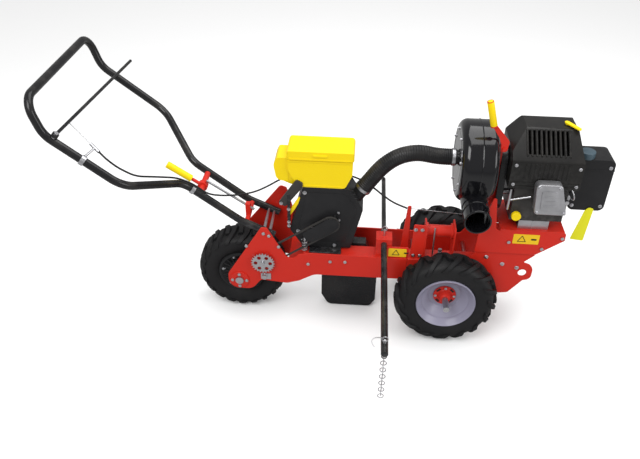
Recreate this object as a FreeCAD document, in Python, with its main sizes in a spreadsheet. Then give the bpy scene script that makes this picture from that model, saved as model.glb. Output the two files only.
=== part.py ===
import FreeCAD, Part
import math
import os
import Sketcher
from FreeCAD import Placement, Rotation, Vector

# Walk-behind vacuum seeder for one row. Millimetres. X runs forward, Y to the machine's left and Z up.
# The origin lies on the ground, on the centre line, below the front axle.

doc = FreeCAD.newDocument("vacuum_seeder")
sheet = doc.addObject("Spreadsheet::Sheet", "Sizes")

DRIVING = {
    # front wheels, on the driven axle over the origin
    "front_tyre_radius": 207.5, "front_tyre_width": 110, "front_rim_radius": 112.5, "front_track": 338,
    "front_axle_radius": 12.5, "front_axle_reach": 250, "front_hub_radius": 24, "front_dish": 12,
    # rear wheel
    "rear_axle_x": -850, "rear_tyre_radius": 186, "rear_tyre_width": 141, "rear_rim_radius": 100,
    "rear_axle_radius": 17, "rear_axle_reach": 116, "tyre_wall": 11,
    # frame plates and beam
    "frame_half_width": 104, "plate_thick": 6, "beam_low": 245, "beam_high": 338, "beam_rear": -583,
    "beam_front": 120, "beam_width": 68, "beam_wall": 4, "cradle_low": 398, "cradle_high": 505,
    "tow_eye_x": 304, "tow_eye_z": 300, "tow_eye_radius": 17, "tow_lobe_radius": 39,
    "gearbox_half_length": 70, "gearbox_low": 140, "gearbox_high": 244, "gearbox_wall": 5,
    "spacer_radius": 9, "bolt_radius": 6, "bolt_head": 5, "bolt_head_radius": 7.5,
    # drive to the metering unit
    "ratio_x": -747, "ratio_z": 290, "ratio_sprocket_radius": 49, "ratio_shaft_radius": 9,
    "sprocket_thick": 4, "chain_wide": 6, "axle_sprocket_radius": 36, "ratio_pinion_radius": 30,
    "chain_height": 7, "drive_chain_y": -78, "metering_chain_y": -92, "metering_sprocket_radius": 30,
    # seed unit
    "seed_half_width": 60, "seed_wall": 4, "disc_x": -475, "disc_z": 480, "disc_radius": 88,
    "disc_thick": 3, "metering_shaft_radius": 8, "opener_half_width": 22, "opener_wall": 4,
    "hopper_half_width": 60, "hopper_low": 630, "hopper_high": 750, "hopper_rear": -645,
    "hopper_front": -397, "hopper_wall": 4, "lid_height": 37, "lid_overhang": 5,
    # suction line and fan
    "hose_radius": 31, "hose_bore": 27.3, "spigot_radius": 27, "spigot_bore": 24,
    "fan_z": 749.5, "fan_radius": 156.5, "fan_rear": -3, "fan_front": 126, "fan_wall": 3,
    "fan_edge": 30, "fan_rim": 18, "fan_plate": 6, "fan_shaft_z": 759, "fan_shaft_radius": 9,
    "impeller_radius": 118, "outlet_radius": 47, "outlet_bore": 44, "outlet_collar": 49.5,
    "outlet_x": 62, "outlet_z": 640, "outlet_reach": 260,
    "fan_pulley_radius": 35, "pulley_rear": 158, "pulley_width": 14, "engine_pulley_radius": 50,
    "post_depth": 20, "post_half_width": 45, "post_high": 858, "guard_depth": 25, "guard_wall": 2.5,
    # engine
    "engine_plate_thick": 6, "crank_z": 620, "crank_radius": 12.5, "block_rear": 210,
    "block_front": 410, "block_half_width": 95, "block_low": 550, "block_high": 700,
    "block_wall": 6, "shroud_rear": 180, "shroud_front": 440, "shroud_half_width": 108,
    "shroud_high": 898, "shroud_near_high": 812, "shroud_wall": 3,
    "air_box_rear": 441, "air_box_front": 582, "air_box_low": 560,
    "air_box_high": 785, "air_box_right": -20, "air_box_left": 90,
    # handle
    "handle_tube_radius": 15, "handle_tube_wall": 2.5, "handle_half_width": 303,
    "handle_foot_y": 83, "brace_radius": 12, "guide_radius": 10, "crank_arm": 28,
    "push_rod_radius": 5, "bail_radius": 6, "bail_stand_off": 26.5, "cable_radius": 3.5,
    "wire_radius": 1.3,
    # row marker
    "marker_x": -258, "marker_z": 395, "marker_tube_radius": 12.5, "marker_rod_radius": 9.5,
    "marker_right_end": -699, "marker_left_end": 417, "link_radius": 10, "link_wire": 1.75,
    "link_count": 12, "clutch_lever_y": -75, "clutch_pivot_z": 846,
    # clearances
    "running_fit": 0.05, "slack": 0.3,
}


class Dim:
    """A size that carries its value and the spreadsheet expression that gives it."""

    def __init__(self, value, text):
        self.value = float(value)
        self.text = text

    def __float__(self):
        return self.value

    def __add__(self, other):
        return Dim(self.value + float(other), f"({self.text} + {text_of(other)})")

    def __radd__(self, other):
        return Dim(float(other) + self.value, f"({text_of(other)} + {self.text})")

    def __sub__(self, other):
        return Dim(self.value - float(other), f"({self.text} - {text_of(other)})")

    def __rsub__(self, other):
        return Dim(float(other) - self.value, f"({text_of(other)} - {self.text})")

    def __mul__(self, other):
        return Dim(self.value * float(other), f"({self.text} * {text_of(other)})")

    __rmul__ = __mul__

    def __truediv__(self, other):
        return Dim(self.value / float(other), f"({self.text} / {text_of(other)})")

    def __neg__(self):
        return Dim(-self.value, f"(0 - {self.text})")


def text_of(size):
    return size.text if isinstance(size, Dim) else f"({float(size)!r})"


class Sizes:
    """Named driving dimensions, each kept in one cell of the sheet."""

    def __init__(self, table):
        for row, (alias, value) in enumerate(table.items(), start=1):
            sheet.set(f"A{row}", alias)
            sheet.set(f"B{row}", str(value))
            sheet.setAlias(f"B{row}", alias)
            setattr(self, alias, Dim(value, f"Sizes.{alias}"))


S = Sizes(DRIVING)
doc.recompute()
NODES = {}


# ---------------------------------------------------------------- helpers

def bind(item, **sizes):
    """Set properties of a document object and bind each Dim to the sheet."""
    for name, size in sizes.items():
        setattr(item, name, float(size))
        if isinstance(size, Dim):
            item.setExpression(name, size.text)


def place(item, x=0, y=0, z=0, rotation=None):
    """Put an object somewhere, with every Dim among x, y, z bound to the sheet."""
    item.Placement = Placement(Vector(float(x), float(y), float(z)), rotation or Rotation())
    for letter, size in zip("xyz", (x, y, z)):
        if isinstance(size, Dim):
            item.setExpression(f"Placement.Base.{letter}", size.text)
    return item


def node(name, item):
    """Name a finished sub-part: its label is its file's name."""
    item.Label = name
    NODES[name] = item
    return item


TURN = {"x": Rotation(Vector(0, 1, 0), 90), "y": Rotation(Vector(1, 0, 0), -90), "z": Rotation()}


def box(x, y, z):
    """A block between the pairs of limits x, y and z."""
    item = doc.addObject("Part::Box", "block")
    bind(item, Length=x[1] - x[0], Width=y[1] - y[0], Height=z[1] - z[0])
    return place(item, x[0], y[0], z[0])


def rod(axis, radius, start, length):
    """A cylinder that runs from start along +X, +Y or +Z."""
    item = doc.addObject("Part::Cylinder", "rod")
    bind(item, Radius=radius, Height=length)
    return place(item, *start, rotation=TURN[axis])


def slant_rod(radius, start, end):
    """A cylinder between two points."""
    start, end = vector(start), vector(end)
    item = doc.addObject("Part::Cylinder", "slant_rod")
    bind(item, Radius=radius, Height=(end - start).Length)
    return place(item, *start, rotation=Rotation(Vector(0, 0, 1), end - start))


def fused(*items):
    item = doc.addObject("Part::MultiFuse", "joined")
    item.Shapes = list(items)
    return item


def cut(base, *tools):
    for tool in tools:
        item = doc.addObject("Part::Cut", "cut")
        item.Base, item.Tool = base, tool
        base = item
    return base


def group(*items):
    item = doc.addObject("Part::Compound", "set")
    item.Links = list(items)
    return item


def vector(point):
    return Vector(*[float(value) for value in point])


def rounded(points):
    """Lines and arcs of a closed outline whose corners (x, y, radius) are rounded."""
    corners = [(Vector(float(x), float(y), 0), float(radius)) for x, y, radius in points]
    ends = []
    for index, (corner, radius) in enumerate(corners):
        before = (corners[index - 1][0] - corner).normalize()
        after = (corners[(index + 1) % len(corners)][0] - corner).normalize()
        half = before.getAngle(after) / 2
        if radius < 1e-6 or abs(half - math.pi / 2) < 1e-6:
            ends.append((corner, None, corner))
            continue
        reach = radius / math.tan(half)
        inward = (before + after).normalize()
        middle = corner + inward * (radius / math.sin(half) - radius)
        ends.append((corner + before * reach, middle, corner + after * reach))
    edges = []
    for index, (start, middle, end) in enumerate(ends):
        if middle is not None:
            edges.append(Part.ArcOfCircle(start, middle, end))
        following = ends[(index + 1) % len(ends)][0]
        if (following - end).Length > 1e-6:
            edges.append(Part.LineSegment(end, following))
    return edges


def belt_loop(first, first_radius, second, second_radius):
    """Outline of a belt or chain round two wheels: two tangents and two arcs."""
    a = Vector(float(first[0]), float(first[1]), 0)
    b = Vector(float(second[0]), float(second[1]), 0)
    ra, rb = float(first_radius), float(second_radius)
    along = (b - a).normalize()
    across = Vector(-along.y, along.x, 0)
    lean = math.asin((ra - rb) / (b - a).Length)
    upper = along * math.sin(lean) + across * math.cos(lean)
    lower = along * math.sin(lean) - across * math.cos(lean)
    return [
        Part.LineSegment(a + upper * ra, b + upper * rb),
        Part.ArcOfCircle(b + upper * rb, b + along * rb, b + lower * rb),
        Part.LineSegment(b + lower * rb, a + lower * ra),
        Part.ArcOfCircle(a + lower * ra, a - along * ra, a + upper * ra),
    ]


def toothed(x, y, tip, root, teeth):
    """Closed outline of a sprocket."""
    points = []
    pitch = 2 * math.pi / teeth
    for tooth in range(teeth):
        for share, radius in ((-0.30, root), (-0.12, tip), (0.12, tip), (0.30, root)):
            angle = (tooth + share) * pitch
            points.append((x + radius * math.cos(angle), y + radius * math.sin(angle), 0))
    return rounded(points)


def sketch_in(body, role, edges, circles=()):
    """A sketch on one of the body's own planes; each circle is (x, y, radius)."""
    sketch = body.newObject("Sketcher::SketchObject", "outline")
    support = next(item for item in body.Origin.OriginFeatures if item.Role == role)
    sketch.AttachmentSupport = [(support, "")]
    sketch.MapMode = "FlatFace"
    sketch.addGeometry(list(edges), False)
    for x, y, radius in circles:
        centre = Vector(float(x), float(y), 0)
        index = sketch.addGeometry(Part.Circle(centre, Vector(0, 0, 1), float(radius)), False)
        if isinstance(radius, Dim):
            rule = sketch.addConstraint(Sketcher.Constraint("Radius", index, float(radius)))
            sketch.setExpression(f"Constraints[{rule}]", radius.text)
    return sketch


def plate(role, edges, depth, at=(0, 0, 0), circles=()):
    """A padded outline. On XZ_Plane the pad runs along +Y, on YZ_Plane along +X, on XY_Plane along +Z."""
    body = doc.addObject("PartDesign::Body", "plate")
    sketch = sketch_in(body, role, edges, circles)
    pad = body.newObject("PartDesign::Pad", "pad")
    pad.Profile = sketch
    pad.Reversed = role == "XZ_Plane"
    bind(pad, Length=depth)
    return place(body, *at)


def turned(profile, at, axis="x"):
    """A body turned about the X axis from corners (along, radius, rounding), then set on an axis."""
    body = doc.addObject("PartDesign::Body", "turned")
    sketch = sketch_in(body, "XY_Plane", rounded(profile))
    spin = body.newObject("PartDesign::Revolution", "spin")
    spin.Profile = sketch
    spin.ReferenceAxis = (sketch, ["H_Axis"])
    spin.Angle = 360
    spin.Reversed = False
    turn = Rotation() if axis == "x" else Rotation(Vector(0, 0, 1), 90)
    return place(body, *at, rotation=turn)


def bent_path(points, radii=None):
    """Straight runs joined by tangent arcs, as one wire. Without radii, each arc is as large as it can be."""
    points = [vector(point) for point in points]
    edges, last = [], points[0]
    for index in range(1, len(points) - 1):
        back = points[index - 1] - points[index]
        ahead = points[index + 1] - points[index]
        shorter = min(back.Length, ahead.Length)
        half_turn = (math.pi - back.getAngle(ahead)) / 2
        radius = float(radii[index - 1]) if radii else 0.45 * shorter / math.tan(half_turn)
        reach = radius * math.tan(half_turn)
        back.normalize()
        ahead.normalize()
        start, end = points[index] + back * reach, points[index] + ahead * reach
        inward = (back + ahead).normalize()
        middle = points[index] + inward * (radius / math.cos(half_turn) - radius)
        edges.append(Part.LineSegment(last, start).toShape())
        edges.append(Part.Arc(start, middle, end).toShape())
        last = end
    edges.append(Part.LineSegment(last, points[-1]).toShape())
    return Part.Wire(edges)


def swept(path, radius):
    """The solid of a round section along a path."""
    start = path.Edges[0].valueAt(path.Edges[0].FirstParameter)
    along = path.Edges[0].tangentAt(path.Edges[0].FirstParameter)
    section = Part.Wire([Part.Circle(start, along, float(radius)).toShape()])
    solid = path.makePipeShell([section], True, False)
    expected = math.pi * float(radius) ** 2 * path.Length
    if abs(solid.Volume - expected) > 0.02 * expected:
        raise ValueError(f"a swept tube has volume {solid.Volume:.0f}, not {expected:.0f}")
    return solid


def free_shape(shape):
    item = doc.addObject("Part::Feature", "shape")
    item.Shape = shape
    return item


def hex_heads(places, y, outward):
    """Bolt heads on a face that looks along -Y or +Y."""
    heads = []
    for x, z in places:
        head = doc.addObject("Part::Prism", "head")
        head.Polygon = 6
        bind(head, Circumradius=S.bolt_head_radius, Height=S.bolt_head)
        start = y if outward > 0 else y - S.bolt_head
        heads.append(place(head, x, start, z, rotation=TURN["y"]))
    return heads


# ---------------------------------------------------------------- frame

PLATE_INNER = S.frame_half_width - S.plate_thick
HANDLE_FOOT = (-700, 411)
HANDLE_KNEE = (-830, 470)


def along_foot(x):
    """Height of the handle's lowest straight run at x."""
    share = (x - HANDLE_FOOT[0]) / (HANDLE_KNEE[0] - HANDLE_FOOT[0])
    return HANDLE_FOOT[1] + share * (HANDLE_KNEE[1] - HANDLE_FOOT[1])


HANDLE_BOLTS = [(x, along_foot(x)) for x in (-742, -720)]
AXLE_X, AXLE_Z = float(S.rear_axle_x), float(S.rear_tyre_radius)
RIGHT_APEX = [(-752, 456, 12), (-728, 456, 12), (-686, 378, 25)]
LEFT_APEX = [(-840, 345, 60), (-697, 533, 14), (-670, 524, 10), (-640, 410, 25)]
PLATE_FRONT = -161


def side_plate(name, y_low, apex):
    """A long plate from the rear axle over the handle's feet and along the beam."""
    outline = [
        (AXLE_X - 48, 213, 30), *apex, (-636, 291, 26), (-603, 332, 14), (-556, 341, 20),
        (PLATE_FRONT, S.beam_high, 2), (PLATE_FRONT, 234, 2), (-536, 233, 60), (-598, 196, 30),
        (-650, 179, 25), (-760, 190, 15), (AXLE_X + 52, AXLE_Z - 48, 46), (AXLE_X - 48, AXLE_Z - 48, 47),
    ]
    bolts = [(x, z, S.bolt_radius + S.running_fit) for x, z in HANDLE_BOLTS]
    bores = [
        (S.rear_axle_x, S.rear_tyre_radius, S.rear_axle_radius + 2),
        (S.ratio_x, S.ratio_z, S.ratio_shaft_radius + S.running_fit),
    ]
    node(name, plate("XZ_Plane", rounded(outline), S.plate_thick, (0, y_low, 0), bores + bolts))


side_plate("side_plate_right", -S.frame_half_width, RIGHT_APEX)
side_plate("side_plate_left", PLATE_INNER, LEFT_APEX)

beam_y = (-PLATE_INNER, -PLATE_INNER + S.beam_width)
beam_outside = box((S.beam_rear, S.beam_front), beam_y, (S.beam_low, S.beam_high))
beam_inside = box(
    (S.beam_rear, S.beam_front),
    (beam_y[0] + S.beam_wall, beam_y[1] - S.beam_wall),
    (S.beam_low + S.beam_wall, S.beam_high - S.beam_wall),
)
node("main_beam", cut(beam_outside, beam_inside))


def front_plate(name, y_low):
    eye_x, eye_z, lobe = S.tow_eye_x, S.tow_eye_z, S.tow_lobe_radius
    outline = [
        (-160, 235, 8), (-160, S.beam_high, 8), (70, S.beam_high, 20), (110, S.cradle_low, 10),
        (347, S.cradle_low, 6), (298, 352, 6), (eye_x + lobe, eye_z + lobe, lobe - 1),
        (eye_x + lobe, eye_z - lobe + 8, 28), (312, 262, 6), (262, 195, 14), (229, 190, 14),
        (60, 205, 20), (44, 158, 30), (-44, 158, 30), (-60, 222, 20),
    ]
    bores = [
        (0, S.front_tyre_radius, S.front_axle_radius + 2),
        (eye_x, eye_z, S.tow_eye_radius),
    ]
    node(name, plate("XZ_Plane", rounded(outline), S.plate_thick, (0, y_low, 0), bores))


front_plate("front_plate_right", -S.frame_half_width)
front_plate("front_plate_left", PLATE_INNER)

CRADLE_OUTER = S.frame_half_width + S.plate_thick
CRADLE = [
    (436, S.cradle_high, 6), (436, 472, 8), (337, S.cradle_low, 10), (98, S.cradle_low, 6), (104, 500, 40),
    (137, 650, 5), (150, 648, 5), (168, S.cradle_high, 14),
]
node("cradle_plates", group(
    plate("XZ_Plane", rounded(CRADLE), S.plate_thick, (0, -CRADLE_OUTER, 0)),
    plate("XZ_Plane", rounded(CRADLE), S.plate_thick, (0, S.frame_half_width, 0)),
))

CRADLE_BOLTS = [(224, 455), (355, 430), (424, 484)]
BEAM_BOLTS = [(-130, 288), (85, 288)]
rear_member = rod("y", 20, (-562, beam_y[1], 288), PLATE_INNER - beam_y[1])
across_front = [
    rod("y", S.spacer_radius, (x, -S.frame_half_width, z), S.frame_half_width * 2) for x, z in CRADLE_BOLTS
]
across_beam = [rod("y", S.spacer_radius, (x, beam_y[1], z), PLATE_INNER - beam_y[1]) for x, z in BEAM_BOLTS]
node("frame_spacers", group(rear_member, *across_front, *across_beam))

SIDE_BOLTS = [(-814, 364), (-682, 368), (-562, 288), (-472, 306), (-411, 308)]
AXLE_FLANGE_BOLTS = [
    (S.rear_axle_x + 30 * math.cos(angle), S.rear_tyre_radius + 30 * math.sin(angle))
    for angle in (quarter * math.pi / 2 for quarter in range(4))
]
FLANGE_THICK = 5
visible_bolts = SIDE_BOLTS + HANDLE_BOLTS + BEAM_BOLTS
through_bolts = [
    rod("y", S.bolt_radius, (x, -S.frame_half_width, z), S.frame_half_width * 2) for x, z in HANDLE_BOLTS
]
heads = []
for places, reach in (
    (visible_bolts, S.frame_half_width), (CRADLE_BOLTS, CRADLE_OUTER),
    (AXLE_FLANGE_BOLTS, S.frame_half_width + FLANGE_THICK),
):
    heads += hex_heads(places, -reach, -1) + hex_heads(places, reach, 1)
node("frame_bolts", group(*heads, *through_bolts))

bearings = [
    cut(
        rod("y", 40, (S.rear_axle_x, y, S.rear_tyre_radius), FLANGE_THICK),
        rod("y", S.rear_axle_radius + S.running_fit, (S.rear_axle_x, y, S.rear_tyre_radius), FLANGE_THICK),
    )
    for y in (-S.frame_half_width - FLANGE_THICK, S.frame_half_width)
]
node("rear_bearings", group(*bearings))

gearbox_x = (-S.gearbox_half_length, S.gearbox_half_length)
gearbox = cut(
    box(gearbox_x, (-PLATE_INNER, PLATE_INNER), (S.gearbox_low, S.gearbox_high)),
    box(
        (gearbox_x[0] + S.gearbox_wall, gearbox_x[1] - S.gearbox_wall),
        (S.gearbox_wall - PLATE_INNER, PLATE_INNER - S.gearbox_wall),
        (S.gearbox_low + S.gearbox_wall, S.gearbox_high - S.gearbox_wall),
    ),
    rod("y", S.front_axle_radius + S.running_fit, (0, -PLATE_INNER, S.front_tyre_radius), PLATE_INNER * 2),
)
node("axle_gearbox", gearbox)

TUBE_Y, TUBE_Z, TUBE_RADIUS = -40, 443, 24
PIN_RADIUS = 4
BRACKETS = (-98, 15)
BRACKET_TOP = 486
CABLE_STOP = (-166, -50, 548)
brackets = []
for x in BRACKETS:
    outline = [(-93, S.beam_high, 0), (-93, BRACKET_TOP, 14), (-6, BRACKET_TOP, 14), (-30, S.beam_high, 0)]
    brackets.append(plate("YZ_Plane", rounded(outline), S.plate_thick, (x, 0, 0)))
wide_bracket = [(-150, S.beam_high, 0), (-146, 500, 6), (BRACKETS[0], 498, 6), (BRACKETS[0], S.beam_high, 0)]
gusset = [(-192, S.beam_high, 0), (-174, 560, 5), (-160, 560, 5), (-158, S.beam_high, 0)]
brackets.append(plate("XZ_Plane", rounded(wide_bracket), S.plate_thick, (0, -93, 0)))
brackets.append(plate("XZ_Plane", rounded(gusset), S.plate_thick, (0, CABLE_STOP[1] - S.plate_thick / 2, 0)))
node("tube_brackets", group(*brackets))
tube_start = BRACKETS[0] + S.plate_thick
drive_tube = cut(
    fused(
        rod("x", TUBE_RADIUS, (tube_start, TUBE_Y, TUBE_Z), BRACKETS[1] - tube_start),
        rod("x", TUBE_RADIUS + 8, (tube_start, TUBE_Y, TUBE_Z), 8),
        rod("x", TUBE_RADIUS + 8, (BRACKETS[1] - 8, TUBE_Y, TUBE_Z), 8),
    ),
    rod("x", TUBE_RADIUS - 3, (tube_start, TUBE_Y, TUBE_Z), BRACKETS[1] - tube_start),
)
node("drive_tube", drive_tube)


# ---------------------------------------------------------------- wheels

def tyre(radius, width, rim, at):
    """A hollow tyre: the bead seats stand at rim, and the inside is open to the rim."""
    half, wall = width / 2, S.tyre_wall
    bead = half * 0.72
    profile = [
        (-bead, rim, 4), (-half, rim + 26, 12), (-half, radius - 34, 14), (-half * 0.78, radius, 14),
        (half * 0.78, radius, 14), (half, radius - 34, 14), (half, rim + 26, 12), (bead, rim, 4),
        (bead - wall, rim, 3), (half - wall, rim + 30, 8), (half - wall, radius - 36, 8),
        (half * 0.7 - wall, radius - wall, 8), (wall - half * 0.7, radius - wall, 8),
        (wall - half, radius - 36, 8), (wall - half, rim + 30, 8), (wall - bead, rim, 3),
    ]
    return turned(profile, at, axis="y")


front_sides = (-1, 1)
wheel_y = S.front_track / 2
node("front_tyres", group(*[
    tyre(S.front_tyre_radius, S.front_tyre_width, S.front_rim_radius + S.slack,
         (0, side * wheel_y, S.front_tyre_radius))
    for side in front_sides
]))


def front_rim(side):
    """A rim: its barrel and the disc welded inside it. Both profiles run outwards, turned by side."""
    seat, dish = float(S.front_rim_radius), -float(S.front_dish)
    hub = float(S.front_hub_radius) + float(S.slack)
    barrel = [
        (44, seat), (44, seat + 6), (49, seat + 6), (49, seat - 4), (-49, seat - 4), (-49, seat + 6),
        (-44, seat + 6), (-44, seat),
    ]
    disc = [(dish, hub), (dish, seat - 4), (dish - 6, seat - 4), (dish - 6, hub)]
    return [
        turned([(side * along, radius, 0) for along, radius in profile],
               (0, side * wheel_y, S.front_tyre_radius), axis="y")
        for profile in (barrel, disc)
    ]


node("front_rims", group(*[solid for side in front_sides for solid in front_rim(side)]))


def front_hub(side):
    bore = float(S.front_axle_radius) + float(S.running_fit)
    barrel, dish = float(S.front_hub_radius), -float(S.front_dish) + float(S.slack)
    profile = [
        (-50, bore), (-50, barrel), (dish, barrel), (dish, 46), (dish + 6, 46), (dish + 6, 30),
        (dish + 22, 22), (dish + 22, bore),
    ]
    profile = [(side * along, radius, 0) for along, radius in profile]
    return turned(profile, (0, side * wheel_y, S.front_tyre_radius), axis="y")


node("front_hubs", group(*[front_hub(side) for side in front_sides]))
node("front_axle", rod(
    "y", S.front_axle_radius, (0, -S.front_axle_reach, S.front_tyre_radius), S.front_axle_reach * 2))

rear_centre = (S.rear_axle_x, 0, S.rear_tyre_radius)
node("rear_tyre", tyre(S.rear_tyre_radius, S.rear_tyre_width, S.rear_rim_radius + S.slack, rear_centre))
rear_half = float(S.rear_tyre_width) / 2
rear_seat = float(S.rear_rim_radius)
rear_bore = float(S.rear_axle_radius) + float(S.running_fit)
DISC_PROFILE = [
    (-rear_half * 0.76, rear_seat), (rear_half * 0.76, rear_seat), (rear_half * 0.76, 34), (rear_half, 28),
    (rear_half, rear_bore), (-rear_half, rear_bore), (-rear_half, 28), (-rear_half * 0.76, 34),
]
HOLLOW_PROFILE = [
    (-rear_half * 0.76 + 5, rear_seat - 5), (rear_half * 0.76 - 5, rear_seat - 5),
    (rear_half * 0.76 - 5, 30), (-rear_half * 0.76 + 5, 30),
]
node("rear_wheel_disc", cut(
    turned([(along, radius, 0) for along, radius in DISC_PROFILE], rear_centre, axis="y"),
    turned([(along, radius, 0) for along, radius in HOLLOW_PROFILE], rear_centre, axis="y"),
))


def sprocket(x, z, tip, teeth, y_middle, bore=None):
    """A sprocket across Y, centred on y_middle."""
    circles = [(x, z, bore)] if bore else []
    outline = toothed(float(x), float(z), float(tip), float(tip) - 5, teeth)
    return plate("XZ_Plane", outline, S.sprocket_thick, (0, y_middle - S.sprocket_thick / 2, 0), circles)


AXLE_TEETH, PINION_TEETH, METERING_TEETH, RATIO_TEETH = 18, 15, 15, 24
node("rear_axle", fused(
    rod("y", S.rear_axle_radius, (S.rear_axle_x, -S.rear_axle_reach, S.rear_tyre_radius),
        S.rear_axle_reach * 2),
    sprocket(S.rear_axle_x, S.rear_tyre_radius, S.axle_sprocket_radius, AXLE_TEETH, S.drive_chain_y),
))

# ---------------------------------------------------------------- metering drive

ratio_shaft = rod("y", S.ratio_shaft_radius, (S.ratio_x, -128, S.ratio_z), 128 - 74)
ratio_holes = [
    (S.ratio_x + 30 * math.cos(angle), S.ratio_z + 30 * math.sin(angle), 8)
    for angle in (step * math.pi / 3 for step in range(6))
]
ratio_disc = plate(
    "XZ_Plane",
    toothed(float(S.ratio_x), float(S.ratio_z), float(S.ratio_sprocket_radius),
            float(S.ratio_sprocket_radius) - 6, RATIO_TEETH),
    S.sprocket_thick + 2, (0, -121, 0), ratio_holes,
)
node("ratio_sprocket", fused(
    ratio_shaft, ratio_disc,
    rod("y", 16, (S.ratio_x, -115, S.ratio_z), 10.5),
    sprocket(S.ratio_x, S.ratio_z, S.ratio_pinion_radius, PINION_TEETH, S.drive_chain_y),
    sprocket(S.ratio_x, S.ratio_z, S.ratio_pinion_radius, PINION_TEETH, S.metering_chain_y),
))


def chain(first, first_radius, second, second_radius, y_middle):
    """A chain as a band that runs just outside the teeth of its two sprockets."""
    inner = S.slack * 2
    outer = inner + S.chain_height
    low = (0, y_middle - S.chain_wide / 2, 0)
    return cut(
        plate("XZ_Plane", belt_loop(first, first_radius + outer, second, second_radius + outer),
              S.chain_wide, low),
        plate("XZ_Plane", belt_loop(first, first_radius + inner, second, second_radius + inner),
              S.chain_wide, low),
    )


axle_centre = (S.rear_axle_x, S.rear_tyre_radius)
ratio_centre = (S.ratio_x, S.ratio_z)
disc_centre = (S.disc_x, S.disc_z)
node("drive_chains", group(
    chain(axle_centre, S.axle_sprocket_radius, ratio_centre, S.ratio_pinion_radius, S.drive_chain_y),
    chain(ratio_centre, S.ratio_pinion_radius, disc_centre, S.metering_sprocket_radius, S.metering_chain_y),
))
node("chain_tensioner", fused(
    rod("y", 11, (S.ratio_x + 4, -S.frame_half_width - 16, S.ratio_z - 76), 16),
    box((S.ratio_x - 12, S.ratio_x + 30), (-S.frame_half_width - 5, -S.frame_half_width),
        (S.ratio_z - 92, S.ratio_z - 62)),
))

# ---------------------------------------------------------------- seed unit

SEED_OUTLINE = [
    (-640, 425, 15), (-586, 630, 12), (-409, 630, 20), (-349, 537, 15), (-393, 346, 10), (-587, 346, 15),
]
SEED_INSIDE = [
    (-634, 427, 12), (-581, 624, 8), (-413, 624, 16), (-355, 537, 11), (-398, 352, 6), (-583, 352, 11),
]
HOSE_Y = -10
NECK_FOOT = (-392, HOSE_Y, 548)
HOSE_START = (-358, HOSE_Y, 600)
HOSE_AIM = (vector(HOSE_START) - vector(NECK_FOOT)).normalize()
NECK_TOP = tuple(vector(HOSE_START) + HOSE_AIM * 34)

seed_low = -S.seed_half_width + S.seed_wall
seed_shell = cut(
    fused(
        plate("XZ_Plane", rounded(SEED_OUTLINE), S.seed_half_width - seed_low, (0, seed_low, 0)),
        slant_rod(S.spigot_radius, NECK_FOOT, NECK_TOP),
    ),
    plate("XZ_Plane", rounded(SEED_INSIDE), S.seed_half_width - S.seed_wall - seed_low, (0, seed_low, 0)),
    slant_rod(S.spigot_bore, NECK_FOOT, tuple(vector(NECK_TOP) + HOSE_AIM * 5)),
    rod("y", S.metering_shaft_radius + S.running_fit, (S.disc_x, S.seed_half_width - 20, S.disc_z), 30),
)
node("seed_housing", seed_shell)
node("seed_cover", plate(
    "XZ_Plane", rounded(SEED_OUTLINE), S.seed_wall, (0, -S.seed_half_width, 0),
    [(S.disc_x, S.disc_z, S.metering_shaft_radius + S.running_fit)],
))

CELL_COUNT = 26
cells = [
    (float(S.disc_x) + 74 * math.cos(angle), float(S.disc_z) + 74 * math.sin(angle), 2.5)
    for angle in (step * 2 * math.pi / CELL_COUNT for step in range(CELL_COUNT))
]
disc_plate = plate(
    "XZ_Plane", [], S.disc_thick, (0, 0, 0), [(S.disc_x, S.disc_z, S.disc_radius)] + cells)
node("seed_disc", fused(
    disc_plate,
    rod("y", S.metering_shaft_radius, (S.disc_x, -97, S.disc_z), 97 + S.seed_half_width),
    rod("y", 22, (S.disc_x, -8, S.disc_z), 20),
    sprocket(S.disc_x, S.disc_z, S.metering_sprocket_radius, METERING_TEETH, S.metering_chain_y),
))

seed_foot = box((-560, -430), beam_y, (S.beam_high, 346))
node("seed_bracket", group(
    seed_foot,
    box((-648, -636), (-72, -60), (440, 600)),
))

shank = [
    (-510, 200, 12), (-510, 60, 20), (-480, 5, 30), (-300, 5, 20), (-275, 40, 30), (-275, 200, 12),
    (-330, 346, 0), (-470, 346, 0),
]
shank_inside = [
    (-506, 200, 8), (-506, 60, 16), (-478, 9, 26), (-302, 9, 16), (-279, 40, 26), (-279, 200, 8),
    (-333, 342, 0), (-467, 342, 0),
]
node("opener_guard", cut(
    plate("XZ_Plane", rounded(shank), S.opener_half_width * 2, (0, -S.opener_half_width, 0)),
    plate("XZ_Plane", rounded(shank_inside), (S.opener_half_width - S.opener_wall) * 2,
          (0, -S.opener_half_width + S.opener_wall, 0)),
))

# ---------------------------------------------------------------- hopper

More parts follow.
